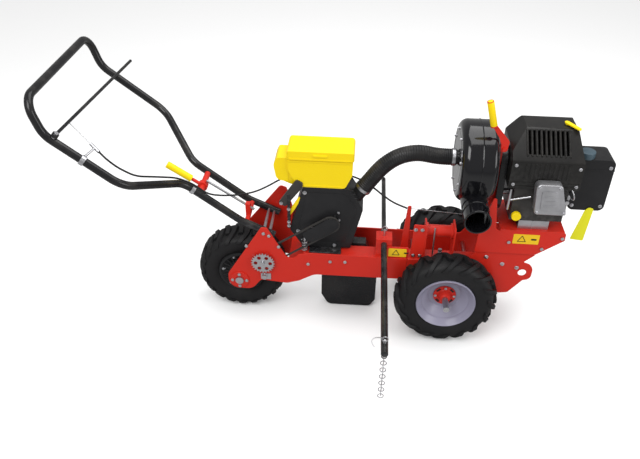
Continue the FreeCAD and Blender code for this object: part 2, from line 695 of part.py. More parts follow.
hopper_y = -S.hopper_half_width
wall = S.hopper_wall
LID_GAP, HINGE_RADIUS, HINGE_X = 0.4, 4, (-590, -452)
HOPPER = [
    (S.hopper_rear, S.hopper_high, 0), (S.hopper_rear, 700, 24), (-606, S.hopper_low, 18),
    (-424, S.hopper_low, 18), (S.hopper_front, 690, 24), (S.hopper_front, S.hopper_high, 0),
]
HOPPER_INSIDE = [
    (S.hopper_rear + wall, S.hopper_high, 0), (S.hopper_rear + wall, 701, 20),
    (-604, S.hopper_low + wall, 14),
    (-426, S.hopper_low + wall, 14), (S.hopper_front - wall, 691, 20),
    (S.hopper_front - wall, S.hopper_high, 0),
]
bulge = [
    (S.hopper_rear, 648, 0), (-690, 652, 26), (-702, 720, 40), (-688, S.hopper_high, 10),
    (S.hopper_rear, S.hopper_high, 0),
]
node("hopper", cut(
    fused(
        plate("XZ_Plane", rounded(HOPPER), S.hopper_half_width * 2, (0, hopper_y, 0)),
        plate("XZ_Plane", rounded(bulge), S.hopper_half_width * 2 - 16, (0, hopper_y + 8, 0)),
        box(HINGE_X, (S.hopper_half_width, S.hopper_half_width + S.lid_overhang + HINGE_RADIUS),
            (S.hopper_high - 24, S.hopper_high + LID_GAP - HINGE_RADIUS - S.slack)),
    ),
    plate("XZ_Plane", rounded(HOPPER_INSIDE), (S.hopper_half_width - wall) * 2, (0, hopper_y + wall, 0)),
))
lid_x = (S.hopper_rear - S.lid_overhang, S.hopper_front + S.lid_overhang)
lid_y = (-S.hopper_half_width - S.lid_overhang, S.hopper_half_width + S.lid_overhang)
lid_low = S.hopper_high + LID_GAP
lid = doc.addObject("Part::Fillet", "lid_rounded")
lid_block = box(lid_x, lid_y, (lid_low, lid_low + S.lid_height))
doc.recompute()
lid.Base = lid_block
lid.Edges = [(index, 12.0, 12.0) for index in (2, 4, 6, 8, 1, 3, 5, 7)
             if lid_block.Shape.Edges[index - 1].BoundBox.ZMax > float(lid_low) + 1]
node("hopper_lid", fused(
    cut(
        lid,
        box(*[(low + 4, high - 4) for low, high in (lid_x, lid_y)], (lid_low, lid_low + S.lid_height - 8)),
    ),
    rod("x", HINGE_RADIUS, (HINGE_X[0], lid_y[1] + HINGE_RADIUS, lid_low), HINGE_X[1] - HINGE_X[0]),
))

# ---------------------------------------------------------------- suction line and fan

HOSE_ROUTE = [
    HOSE_START, (-324, HOSE_Y, 652), (-285, -8, 708), (-225, -5, 757), (-150, -2, 774),
    (-80, 0, S.fan_shaft_z), (-7, 0, S.fan_shaft_z),
]
hose_path = bent_path(HOSE_ROUTE)
node("suction_hose", free_shape(swept(hose_path, S.hose_radius).cut(swept(hose_path, S.hose_bore))))


def clip(start, aim):
    end = vector(start) + aim * 12
    clear = float(S.hose_radius) + 0.2
    return cut(slant_rod(clear + 2.5, start, end), slant_rod(clear, start, end))


hose_end_aim = (vector(HOSE_ROUTE[-1]) - vector(HOSE_ROUTE[-2])).normalize()
node("hose_clips", group(
    clip(vector(HOSE_START) + HOSE_AIM * 6, HOSE_AIM),
    clip(vector(HOSE_ROUTE[-1]) - hose_end_aim * 18, hose_end_aim),
))


def drum(rear, front, radius, edge):
    """A short drum about X with rounded rims."""
    return turned([(rear, 0, 0), (rear, radius, edge), (front, radius, S.fan_rim), (front, 0, 0)],
                  (0, 0, S.fan_z))


fan_wall = S.fan_wall
outlet_wall_y = -S.outlet_reach
node("fan_casing", cut(
    fused(
        drum(S.fan_rear, S.fan_front, S.fan_radius, S.fan_edge),
        rod("x", S.spigot_radius, (-42, 0, S.fan_shaft_z), 42),
    ),
    turned(
        [(S.fan_rear + fan_wall, 0, 0),
         (S.fan_rear + fan_wall, S.fan_radius - fan_wall, S.fan_edge - fan_wall),
         (S.fan_front - fan_wall, S.fan_radius - fan_wall, S.fan_rim - fan_wall),
         (S.fan_front - fan_wall, 0, 0)],
        (0, 0, S.fan_z),
    ),
    rod("x", S.spigot_bore, (-50, 0, S.fan_shaft_z), 60),
    rod("y", S.outlet_collar + S.slack, (S.outlet_x, outlet_wall_y, S.outlet_z), S.outlet_reach),
    rod("x", S.fan_radius - S.fan_edge, (S.fan_front - 10, 0, S.fan_z), 10),
))
OUTLET_INSIDE, OUTLET_COLLAR_END = 112, 165
node("fan_outlet", cut(
    fused(
        rod("y", S.outlet_radius, (S.outlet_x, outlet_wall_y, S.outlet_z), S.outlet_reach - OUTLET_INSIDE),
        rod("y", S.outlet_collar, (S.outlet_x, -OUTLET_COLLAR_END, S.outlet_z),
            OUTLET_COLLAR_END - OUTLET_INSIDE),
    ),
    rod("y", S.outlet_bore, (S.outlet_x, outlet_wall_y, S.outlet_z), S.outlet_reach - OUTLET_INSIDE),
))
node("fan_back_plate", cut(
    rod("x", S.fan_radius - S.fan_edge + 6, (S.fan_front, 0, S.fan_z), S.fan_plate),
    rod("x", S.fan_shaft_radius + S.running_fit, (S.fan_front, 0, S.fan_shaft_z), S.fan_plate),
))

BLADES = 8
IMPELLER_REAR, IMPELLER_FRONT = 18, 104
blades = []
for index in range(BLADES):
    blade = box((IMPELLER_REAR, IMPELLER_FRONT), (20, S.impeller_radius), (-2, 2))
    turn = Rotation(Vector(1, 0, 0), index * 360 / BLADES)
    shift = turn.multVec(Vector(0, 20, -2))
    blade.Placement = Placement(Vector(IMPELLER_REAR, shift.y, float(S.fan_shaft_z) + shift.z), turn)
    blades.append(blade)
fan_shaft_end = S.pulley_rear + S.pulley_width + 2
node("fan_rotor", fused(
    rod("x", S.impeller_radius, (IMPELLER_FRONT, 0, S.fan_shaft_z), 4),
    *blades,
    rod("x", 24, (60, 0, S.fan_shaft_z), 50),
    rod("x", S.fan_shaft_radius, (50, 0, S.fan_shaft_z), fan_shaft_end - 50),
    rod("x", S.fan_pulley_radius, (S.pulley_rear, 0, S.fan_shaft_z), S.pulley_width),
))

engine_plate_high = S.cradle_high + S.engine_plate_thick
node("engine_plate", box((184, 430), (-CRADLE_OUTER, CRADLE_OUTER),
                         (S.cradle_high, engine_plate_high)))

post_x = (S.fan_front + S.fan_plate, S.fan_front + S.fan_plate + S.post_depth)
post = cut(
    fused(
        box(post_x, (-S.post_half_width, S.post_half_width), (engine_plate_high, S.post_high)),
        rod("y", 6, (post_x[1] - 6, S.clutch_lever_y - 14, S.clutch_pivot_z), 46),
    ),
    box((post_x[0] + 5, post_x[1]), (5 - S.post_half_width, S.post_half_width - 5),
        (engine_plate_high + 5, S.post_high)),
    rod("x", 14, (post_x[0], 0, S.fan_shaft_z), 5),
)
node("fan_post", post)

guard_rear = post_x[1]
guard_low = (0, S.crank_z)
guard_top = (0, S.fan_shaft_z)
belt_guard = cut(
    plate("YZ_Plane", belt_loop(guard_low, 70, guard_top, 55), S.guard_depth, (guard_rear, 0, 0)),
    plate("YZ_Plane", belt_loop(guard_low, 70 - S.guard_wall, guard_top, 55 - S.guard_wall), S.guard_depth,
          (guard_rear + S.guard_wall, 0, 0)),
    rod("x", 14, (guard_rear, 0, S.fan_shaft_z), S.guard_wall),
)
node("belt_guard", belt_guard)
belt_at = (S.pulley_rear + 2, 0, 0)
node("drive_belt", cut(
    plate("YZ_Plane", belt_loop(guard_low, S.engine_pulley_radius + 8, guard_top, S.fan_pulley_radius + 8),
          S.pulley_width - 4, belt_at),
    plate("YZ_Plane", belt_loop(guard_low, S.engine_pulley_radius + S.slack, guard_top,
                                S.fan_pulley_radius + S.slack), S.pulley_width - 4, belt_at),
))
node("engine_pulley", fused(
    rod("x", S.engine_pulley_radius, (S.pulley_rear, 0, S.crank_z), S.pulley_width),
    rod("x", S.crank_radius, (S.pulley_rear, 0, S.crank_z), 80),
))

# ---------------------------------------------------------------- engine

block_y = (-S.block_half_width, S.block_half_width)
shroud_inset = S.shroud_wall + S.slack
baffle = box(
    (S.shroud_rear + shroud_inset, S.shroud_front - shroud_inset),
    (shroud_inset - S.shroud_half_width, S.shroud_half_width - shroud_inset),
    (S.block_high, S.block_high + S.block_wall),
)
node("engine_block", group(
    cut(
        fused(box((S.block_rear, S.block_front), block_y, (S.block_low, S.block_high)), baffle),
        box((S.block_rear + S.block_wall, S.block_front - S.block_wall),
            (block_y[0] + S.block_wall, block_y[1] - S.block_wall),
            (S.block_low + S.block_wall, S.block_high)),
        rod("x", S.crank_radius + S.running_fit, (S.block_rear, 0, S.crank_z), S.block_wall),
    ),
    box((250, 364), block_y, (engine_plate_high, S.block_low)),
))


def rounded_case(x, y, z, radius, wall):
    """A closed box shell across Y with rounded corners."""
    def outline(x, z, radius):
        corners = [(x[0], z[0]), (x[0], z[1]), (x[1], z[1]), (x[1], z[0])]
        return rounded([(*corner, radius) for corner in corners])
    return cut(
        plate("XZ_Plane", outline(x, z, radius), y[1] - y[0], (0, y[0], 0)),
        plate("XZ_Plane", outline((x[0] + wall, x[1] - wall), (z[0] + wall, z[1] - wall), radius - wall),
              y[1] - y[0] - wall * 2, (0, y[0] + wall, 0)),
    )


def shroud_block(inset):
    """The shroud's outer form, or with an inset the hollow in it, which is open below."""
    rear, front = S.shroud_rear + inset, S.shroud_front - inset
    half, top, near_top = S.shroud_half_width - inset, S.shroud_high - inset, S.shroud_near_high - inset
    low = S.block_high - (1 if inset else 0)
    side_view = [
        (rear, low, 0), (rear, 838, 10), (rear + 54, top, 10), (front - 19, top, 10), (front, 808, 10),
        (front, low, 0),
    ]
    end_view = [(-half, low, 0), (-half, near_top, 12), (0, top, 20), (half, top, 16), (half, low, 0)]
    common = doc.addObject("Part::MultiCommon", "shroud_form")
    common.Shapes = [
        plate("XZ_Plane", rounded(side_view), half * 2, (0, -half, 0)),
        plate("YZ_Plane", rounded(end_view), front - rear, (rear, 0, 0)),
    ]
    return common


SLOT_PITCH, SLOT_WIDTH = 17, 8
slots = [
    box((238 + index * SLOT_PITCH, 238 + index * SLOT_PITCH + SLOT_WIDTH), (-84, -8),
        (S.shroud_near_high - 10, S.shroud_high + 1))
    for index in range(9)
]
node("engine_shroud", cut(shroud_block(0), shroud_block(S.shroud_wall), *slots))
COVER_OUTLINE = [(284, 614, 14), (272, 742, 18), (366, 742, 18), (403, 614, 14)]
NECK_OUTLINE = [(292, 624, 10), (286, 698, 10), (370, 698, 10), (390, 624, 10)]
COVER_DEPTH, NECK_DEPTH = 40, 15
node("valve_cover", fused(
    plate("XZ_Plane", rounded(COVER_OUTLINE), COVER_DEPTH,
          (0, -S.block_half_width - NECK_DEPTH - COVER_DEPTH, 0)),
    plate("XZ_Plane", rounded(NECK_OUTLINE), NECK_DEPTH, (0, -S.block_half_width - NECK_DEPTH, 0)),
))
node("air_box", rounded_case(
    (S.air_box_rear, S.air_box_front), (S.air_box_right, S.air_box_left), (S.air_box_low, S.air_box_high),
    24, 3))
node("carburettor", fused(
    box((S.block_front, S.air_box_rear), (0, 60), (600, 660)),
    rod("y", 13, (424, -48, 628), 60),
    rod("z", 12, (424, -30, 566), 60),
))
node("oil_cap", fused(
    rod("y", 18, (230, -S.block_half_width - 26, 580), 14),
    rod("y", 11, (230, -S.block_half_width - 14, 580), 14),
))
CHOKE_PIVOT = (386, 34)
choke_z = S.shroud_high + S.slack
choke_arm = plate("XY_Plane", rounded([(-12, -9, 8), (66, -7, 7), (66, 7, 7), (-12, 9, 8)]), 6)
node("choke_lever", fused(
    rod("z", 7, (*CHOKE_PIVOT, choke_z), 4),
    place(choke_arm, *CHOKE_PIVOT, choke_z + 4, rotation=Rotation(Vector(0, 0, 1), -58)),
))

# ---------------------------------------------------------------- handle

top_y = S.handle_half_width
HALF_HANDLE = [
    (HANDLE_FOOT[0], S.handle_foot_y, HANDLE_FOOT[1]), (HANDLE_KNEE[0], S.handle_foot_y, HANDLE_KNEE[1]),
    (-1050, 85, 636), (-1205, top_y, 748), (-1450, top_y, 940), (-1488, top_y, 1066),
]
HALF_RADII = [200, 80, 110, 100, 62]
right_side = [(x, -y, z) for x, y, z in HALF_HANDLE]
handle_path = bent_path(right_side + HALF_HANDLE[::-1], HALF_RADII + HALF_RADII[::-1])
handle_shape = swept(handle_path, S.handle_tube_radius).cut(
    swept(handle_path, S.handle_tube_radius - S.handle_tube_wall))
for x, z in HANDLE_BOLTS:
    handle_shape = handle_shape.cut(Part.makeCylinder(
        float(S.bolt_radius + S.running_fit), 240, Vector(x, -120, z), Vector(0, 1, 0)))
node("handlebar", free_shape(handle_shape))

LEVER_X = -990
KNEE_SLOPE = (636 - HANDLE_KNEE[1]) / (-1050 - HANDLE_KNEE[0])
LEVER_Z = HANDLE_KNEE[1] + (LEVER_X - HANDLE_KNEE[0]) * KNEE_SLOPE
LEVER_Y = (-34, -10)
GUIDE_X = -812
GUIDE_Z = along_foot(GUIDE_X)
ROD_AIM = Vector(0.829, 0, -0.559)
CRANK_AIM = Vector(0.559, 0, 0.829)
lever_axis = Vector(LEVER_X, 0, LEVER_Z)
rod_y = sum(LEVER_Y) / 2
rod_start = lever_axis + CRANK_AIM * float(S.crank_arm) + Vector(0, rod_y, 0)
rod_at_guide = rod_start + ROD_AIM * ((GUIDE_X - rod_start.x) / ROD_AIM.x)

brace_half = S.handle_foot_y + 1.4 - S.handle_tube_radius - S.slack
guide_half = S.handle_foot_y - S.handle_tube_radius - S.slack
guide_eye = cut(
    box((GUIDE_X - 10, GUIDE_X + 10), (rod_y - 12, rod_y + 12), (GUIDE_Z, rod_at_guide.z + 14)),
    slant_rod(S.push_rod_radius + S.running_fit, rod_at_guide - ROD_AIM * 40, rod_at_guide + ROD_AIM * 40),
)
node("handle_braces", group(
    rod("y", S.brace_radius, (LEVER_X, -brace_half, LEVER_Z), brace_half * 2),
    fused(rod("y", S.guide_radius, (GUIDE_X, -guide_half, GUIDE_Z), guide_half * 2), guide_eye),
))

GRIP_AIM = Vector(-0.832, 0, 0.555)
lever_middle = lever_axis + Vector(0, rod_y, 0)
crank_tip = float(S.crank_arm - S.push_rod_radius - S.slack)
arm = cut(
    fused(
        rod("y", 20, (LEVER_X, LEVER_Y[0], LEVER_Z), LEVER_Y[1] - LEVER_Y[0]),
        slant_rod(7, lever_middle + GRIP_AIM * 14, lever_middle + GRIP_AIM * 52),
        slant_rod(3, lever_middle + CRANK_AIM * 14, lever_middle + CRANK_AIM * crank_tip),
    ),
    rod("y", S.brace_radius + S.running_fit, (LEVER_X, LEVER_Y[0], LEVER_Z), LEVER_Y[1] - LEVER_Y[0]),
)
node("drive_lever", group(
    arm, slant_rod(14, lever_middle + GRIP_AIM * 52, lever_middle + GRIP_AIM * 162)))
node("push_rod", slant_rod(S.push_rod_radius, rod_start, rod_at_guide + ROD_AIM * 28))

TUBE_AIM = (Vector(-1450, 0, 940) - Vector(-1205, 0, 748)).normalize()
TUBE_NORMAL = Vector(TUBE_AIM.z, 0, -TUBE_AIM.x)
bail_foot = Vector(-1205, -float(top_y), 748) + TUBE_AIM * 279
bail_pivot = bail_foot + TUBE_NORMAL * float(S.bail_stand_off)
bail_far_foot = Vector(-1205, float(top_y), 748) + TUBE_AIM * 242
bail_rest = bail_far_foot + TUBE_NORMAL * (float(S.handle_tube_radius + S.bail_radius) + 2)
BAIL_AIM = (bail_rest - bail_pivot).normalize()
BAIL_LENGTH = 748
EYE_HALF = 6.5
node("bail_lever", cut(
    fused(
        slant_rod(12, bail_pivot - TUBE_NORMAL * EYE_HALF, bail_pivot + TUBE_NORMAL * EYE_HALF),
        slant_rod(S.bail_radius, bail_pivot, bail_pivot + BAIL_AIM * BAIL_LENGTH),
    ),
    slant_rod(PIN_RADIUS + S.running_fit, bail_pivot - TUBE_NORMAL * 8, bail_pivot + TUBE_NORMAL * 8),
))

WIRE_CLEARANCE = 3.5
wire_drop = float(S.bail_radius + S.wire_radius) + WIRE_CLEARANCE
wire_start = bail_pivot + BAIL_AIM * 123 - TUBE_NORMAL * wire_drop
ADJUSTER = Vector(-1322, -232, 874)
wire_aim = (ADJUSTER - wire_start).normalize()
adjuster_end = ADJUSTER + wire_aim * 44
node("bail_wire", slant_rod(S.wire_radius, wire_start, ADJUSTER + wire_aim * 10))

clip_foot = Vector(-1205, -float(top_y), 748) + TUBE_AIM * 160
clip_ring = cut(
    slant_rod(19, clip_foot - TUBE_AIM * 8, clip_foot + TUBE_AIM * 8),
    slant_rod(S.handle_tube_radius + 0.2, clip_foot - TUBE_AIM * 12, clip_foot + TUBE_AIM * 12),
)
adjuster = cut(
    fused(
        clip_ring,
        slant_rod(6, ADJUSTER, adjuster_end),
        slant_rod(4, clip_foot + Vector(0, 17, 3), ADJUSTER + wire_aim * 22),
    ),
    slant_rod(S.wire_radius + 0.2, ADJUSTER - wire_aim * 5, ADJUSTER + wire_aim * 40),
)
pivot_pin = fused(
    slant_rod(9, bail_pivot - TUBE_NORMAL * 11.2, bail_pivot - TUBE_NORMAL * (EYE_HALF + 0.3)),
    slant_rod(PIN_RADIUS, bail_pivot - TUBE_NORMAL * 11.2, bail_pivot + TUBE_NORMAL * 9),
    slant_rod(8, bail_pivot + TUBE_NORMAL * (EYE_HALF + 0.3), bail_pivot + TUBE_NORMAL * 11),
)
LOW_CLIP_X = -1014
low_clip_foot = Vector(LOW_CLIP_X, -84.7, HANDLE_KNEE[1] + (LOW_CLIP_X - HANDLE_KNEE[0]) * KNEE_SLOPE)
LOW_AIM = Vector(-220, -2, 166).normalize()
low_clip = cut(
    slant_rod(18.5, low_clip_foot - LOW_AIM * 7, low_clip_foot + LOW_AIM * 7),
    slant_rod(S.handle_tube_radius + 0.6, low_clip_foot - LOW_AIM * 9, low_clip_foot + LOW_AIM * 9),
)
node("cable_clamps", group(adjuster, pivot_pin, low_clip))

CABLE_ROUTE = [
    adjuster_end + wire_aim * 0.5, adjuster_end + wire_aim * 40, (-1228, -262, 800), (-1180, -232, 748),
    (-1128, -170, 712), (-1065, -105, 672), (-1010, -88, 637), (-958, -86, 592), (-908, -52, 566),
    (-846, -12, 548), (-790, 18, 546), (-740, 44, 560), (-690, 64, 585), (-620, 76, 611), (-520, 80, 618),
    (-430, 76, 616), (-372, 60, 608), (-322, 30, 596), (-276, -4, 576), (-232, -32, 560),
    (CABLE_STOP[0] - 10, *CABLE_STOP[1:]),
]
cable_path = bent_path(CABLE_ROUTE)
inner_wire = slant_rod(S.wire_radius, (CABLE_STOP[0] + 6.6, *CABLE_STOP[1:]), (post_x[0] - 0.2, -40, 522))
node("clutch_cable", group(free_shape(swept(cable_path, S.cable_radius)), inner_wire))

# ---------------------------------------------------------------- clutch lever on the fan post

LEVER_FOOT = (post_x[1] - 6, S.clutch_pivot_z)
foot_x, foot_z = float(LEVER_FOOT[0]), float(LEVER_FOOT[1])
lever_low = S.clutch_lever_y - 8
clutch_outline = [
    (foot_x - 12, foot_z - 12, 11), (foot_x - 12, foot_z + 16, 6), (foot_x - 23, foot_z + 44, 6),
    (foot_x - 53, foot_z + 88, 3), (foot_x - 41, foot_z + 95, 3), (foot_x + 16, foot_z + 30, 12),
    (foot_x + 12, foot_z - 12, 11),
]
clutch_arm = plate(
    "XZ_Plane", rounded(clutch_outline), 8, (0, lever_low, 0), [(*LEVER_FOOT, 6 + S.running_fit)])
GRIP_LOW = (foot_x - 48, S.clutch_lever_y - 4, foot_z + 86)
GRIP_HIGH = (foot_x - 76, S.clutch_lever_y - 4, foot_z + 184)
node("clutch_lever", group(
    cut(clutch_arm, slant_rod(12, GRIP_LOW, GRIP_HIGH)), slant_rod(12, GRIP_LOW, GRIP_HIGH)))

# ---------------------------------------------------------------- row marker

marker_clear = S.marker_tube_radius + S.running_fit
PIN_X = S.marker_x
clamp_y = (beam_y[0] + 8, beam_y[1])
clamp_top = S.marker_z + 23
clamp_pin_y = -60
node("marker_clamp", cut(
    box((S.marker_x - 32, S.marker_x + 32), clamp_y, (S.beam_high, clamp_top)),
    rod("y", marker_clear, (S.marker_x, clamp_y[0], S.marker_z), clamp_y[1] - clamp_y[0]),
    rod("z", PIN_RADIUS + S.running_fit, (PIN_X, clamp_pin_y, S.marker_z + 9), 30),
))
tube_bore = S.marker_rod_radius + S.running_fit
end_pin_y = S.marker_right_end + 40
eye_z = S.marker_z - S.marker_tube_radius - 10.3
eye = doc.addObject("Part::Torus", "eye")
bind(eye, Radius1=8, Radius2=2)
place(eye, S.marker_x, S.marker_right_end + 12, eye_z, rotation=TURN["y"])
tube_length = 8 - S.marker_right_end
marker_tube = cut(
    rod("y", S.marker_tube_radius, (S.marker_x, S.marker_right_end, S.marker_z), tube_length),
    rod("y", tube_bore, (S.marker_x, S.marker_right_end + 4, S.marker_z), tube_length),
    rod("z", PIN_RADIUS + S.running_fit, (PIN_X, clamp_pin_y, S.marker_z + 9), 30),
    rod("z", PIN_RADIUS + S.running_fit, (PIN_X, end_pin_y, S.marker_z - 20), 40),
)
node("marker_tube", group(
    marker_tube, eye,
    rod("z", PIN_RADIUS, (PIN_X, clamp_pin_y, S.marker_z + 10.5), 40),
    rod("z", PIN_RADIUS, (PIN_X, end_pin_y, S.marker_z - 24), 48),
))
rod_tail = -250
left_pin = rod("z", PIN_RADIUS, (S.marker_x, S.marker_left_end - 18, S.marker_z - 20), 40)
node("marker_rod", fused(
    rod("y", S.marker_rod_radius, (S.marker_x, rod_tail, S.marker_z), S.marker_left_end - rod_tail),
    left_pin,
))

links = []
link_pitch = S.link_radius * 2 - S.link_wire * 2 - 0.3
first_link_z = eye_z - 8 + 2 + S.link_wire + 0.2 - S.link_radius
for index in range(int(float(S.link_count))):
    link = doc.addObject("Part::Torus", "link")
    bind(link, Radius1=S.link_radius, Radius2=S.link_wire)
    place(link, S.marker_x, S.marker_right_end + 12, first_link_z - link_pitch * index,
          rotation=TURN["x"] if index % 2 == 0 else TURN["y"])
    links.append(link)
node("marker_chain", group(*links))

# ---------------------------------------------------------------- checks and files

doc.recompute()
for item in doc.Objects:
    if "Invalid" in item.State or "Error" in item.State:
        raise ValueError(f"{item.Label} ({item.Name}) failed: {item.State}")
for name, item in NODES.items():
    if item.Shape.isNull() or not item.Shape.isValid() or not item.Shape.Solids:
        raise ValueError(f"{name} has no valid solid")

os.makedirs("parts", exist_ok=True)
for name, item in NODES.items():
    item.Shape.exportStep(f"parts/{name}.step")
print(len(NODES), "nodes")
for name, point in {
    "bail_pivot": bail_pivot, "bail_axis": TUBE_NORMAL, "wire_aim": wire_aim, "lever_axis": lever_axis,
    "rod_start": rod_start, "first_link": Vector(float(S.marker_x), 0, float(first_link_z)),
}.items():
    print(name, [round(value, 4) for value in point])
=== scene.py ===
import logging
import math
from dataclasses import dataclass
from enum import Enum
from typing import Iterable, Protocol, Sequence

import bmesh
import bpy
from mathutils import Matrix, Vector


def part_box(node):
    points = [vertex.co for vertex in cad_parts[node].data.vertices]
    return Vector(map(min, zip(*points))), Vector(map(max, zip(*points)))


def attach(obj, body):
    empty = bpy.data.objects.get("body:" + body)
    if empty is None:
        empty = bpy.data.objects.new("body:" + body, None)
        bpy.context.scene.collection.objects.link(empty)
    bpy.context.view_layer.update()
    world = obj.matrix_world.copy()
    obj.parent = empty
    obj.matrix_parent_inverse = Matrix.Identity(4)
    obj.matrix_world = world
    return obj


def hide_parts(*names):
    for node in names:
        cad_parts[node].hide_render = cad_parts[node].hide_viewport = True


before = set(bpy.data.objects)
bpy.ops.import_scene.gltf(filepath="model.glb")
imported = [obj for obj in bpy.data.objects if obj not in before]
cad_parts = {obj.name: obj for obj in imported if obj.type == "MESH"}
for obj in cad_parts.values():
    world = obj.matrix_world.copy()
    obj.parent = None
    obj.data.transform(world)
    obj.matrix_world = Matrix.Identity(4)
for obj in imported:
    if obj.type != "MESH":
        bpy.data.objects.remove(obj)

LOG = logging.getLogger("seeder")
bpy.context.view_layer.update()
MM = 0.001
MERGE = 1e-6
NODE_MERGE = 2e-6
SHARP = math.radians(38.0)
Point = tuple[float, float, float]


# ------------------------------------------------------------------ shader groups


class GroupBuilder:
    """Builds one shader node group with named inputs and outputs."""

    def __init__(
        self, name: str, numbers: dict[str, float], outputs: dict[str, str],
        colours: Sequence[str] = (),
    ) -> None:
        """Start an empty group.

        Args:
            name: the group's name.
            numbers: its number inputs with their defaults.
            outputs: its outputs, each with Float or Color.
            colours: its colour inputs.
        """
        self.tree = bpy.data.node_groups.new(name, "ShaderNodeTree")
        self.start = self.tree.nodes.new("NodeGroupInput")
        self.end = self.tree.nodes.new("NodeGroupOutput")
        sockets = self.tree.interface
        for colour in colours:
            sockets.new_socket(colour, in_out="INPUT", socket_type="NodeSocketColor")
        for number, default in numbers.items():
            made = sockets.new_socket(number, in_out="INPUT", socket_type="NodeSocketFloat")
            made.default_value = default
        for output, kind in outputs.items():
            sockets.new_socket(output, in_out="OUTPUT", socket_type=f"NodeSocket{kind}")

    def add(self, kind: str, **settings: object) -> bpy.types.Node:
        """Add a node and set its properties.

        Args:
            kind: identifier of the node type.
            settings: properties to set on the new node.

        Returns:
            The new node.
        """
        made = self.tree.nodes.new(kind)
        for name, value in settings.items():
            setattr(made, name, value)
        return made

    def wire(self, source: bpy.types.NodeSocket, target: bpy.types.NodeSocket) -> None:
        """Join an output socket to an input socket."""
        self.tree.links.new(source, target)

    def noise(
        self, scale: bpy.types.NodeSocket | float, detail: float, rough: float,
    ) -> bpy.types.NodeSocket:
        """Add a noise texture on Object coordinates.

        Args:
            scale: a socket or a number for the noise scale.
            detail: octaves of detail.
            rough: roughness of the octaves.

        Returns:
            The noise's value.
        """
        coords = self.add("ShaderNodeTexCoord")
        made = self.add("ShaderNodeTexNoise")
        made.inputs["Detail"].default_value = detail
        made.inputs["Roughness"].default_value = rough
        self.wire(coords.outputs["Object"], made.inputs["Vector"])
        if isinstance(scale, bpy.types.NodeSocket):
            self.wire(scale, made.inputs["Scale"])
        else:
            made.inputs["Scale"].default_value = scale
        return made.outputs["Fac"]

    def maths(
        self, operation: str, first: object, second: object, clamp: bool = False,
    ) -> bpy.types.NodeSocket:
        """Add a maths node whose inputs are sockets or numbers, and return its output."""
        made = self.add("ShaderNodeMath", operation=operation, use_clamp=clamp)
        for socket, value in zip(made.inputs, (first, second)):
            if isinstance(value, bpy.types.NodeSocket):
                self.wire(value, socket)
            else:
                socket.default_value = float(value)
        return made.outputs[0]

    def spread(self, value: bpy.types.NodeSocket, low: float, high: float) -> bpy.types.NodeSocket:
        """Stretch low..high of a value to 0..1, clamped and smooth, and return the result."""
        made = self.add("ShaderNodeMapRange", interpolation_type="SMOOTHSTEP")
        self.wire(value, made.inputs["Value"])
        made.inputs["From Min"].default_value = low
        made.inputs["From Max"].default_value = high
        return made.outputs["Result"]

    def finish_mask(self, mask: bpy.types.NodeSocket) -> bpy.types.NodeTree:
        """Scale a mask by the input Amount, send it to the output Mask and return the group."""
        scaled = self.maths("MULTIPLY", mask, self.start.outputs["Amount"], clamp=True)
        self.wire(scaled, self.end.inputs["Mask"])
        return self.tree

    def mix(self, share: object, first: object, second: object) -> bpy.types.NodeSocket:
        """Mix two colours, each a socket or a colour, and return the result."""
        made = self.add("ShaderNodeMix", data_type="RGBA")
        for index, value in ((0, share), (6, first), (7, second)):
            if isinstance(value, bpy.types.NodeSocket):
                self.wire(value, made.inputs[index])
            else:
                made.inputs[index].default_value = value
        return made.outputs[2]


def build_edge_wear() -> bpy.types.NodeTree:
    """A mask that is 1 along rubbed convex edges.

    Returns:
        The group, with input Amount and output Mask.
    """
    group = GroupBuilder("edge_wear", {"Amount": 0.5}, {"Mask": "Float"})
    geometry = group.add("ShaderNodeNewGeometry")
    edges = group.spread(geometry.outputs["Pointiness"], low=0.53, high=0.60)
    patches = group.spread(group.noise(55.0, detail=6.0, rough=0.65), low=0.42, high=0.62)
    return group.finish_mask(group.maths("MULTIPLY", edges, patches))


def build_dust() -> bpy.types.NodeTree:
    """A mask of dust that lies on faces that look up and in blotches.

    Returns:
        The group, with inputs Amount and Scale and output Mask.
    """
    group = GroupBuilder("settled_dust", {"Amount": 0.3, "Scale": 12.0}, {"Mask": "Float"})
    geometry = group.add("ShaderNodeNewGeometry")
    parts = group.add("ShaderNodeSeparateXYZ")
    group.wire(geometry.outputs["Normal"], parts.inputs[0])
    on_top, everywhere = 0.7, 0.3
    upward = group.spread(parts.outputs["Z"], low=0.1, high=1.0)
    lying = group.maths("ADD", group.maths("MULTIPLY", upward, on_top), everywhere)
    clouds = group.noise(group.start.outputs["Scale"], detail=5.0, rough=0.6)
    blotches = group.spread(clouds, low=0.40, high=0.72)
    return group.finish_mask(group.maths("MULTIPLY", lying, blotches))


def build_tint() -> bpy.types.NodeTree:
    """Slow colour variation over a surface.

    Returns:
        The group, with inputs Colour, Shade and Amount and output Colour.
    """
    group = GroupBuilder(
        "colour_variation", {"Amount": 0.3, "Scale": 6.0}, {"Colour": "Color"}, ("Colour", "Shade"))
    noise = group.noise(group.start.outputs["Scale"], detail=4.0, rough=0.55)
    clouds = group.spread(noise, low=0.3, high=0.75)
    share = group.maths("MULTIPLY", clouds, group.start.outputs["Amount"], clamp=True)
    mixed = group.mix(share, group.start.outputs["Colour"], group.start.outputs["Shade"])
    group.wire(mixed, group.end.inputs["Colour"])
    return group.tree


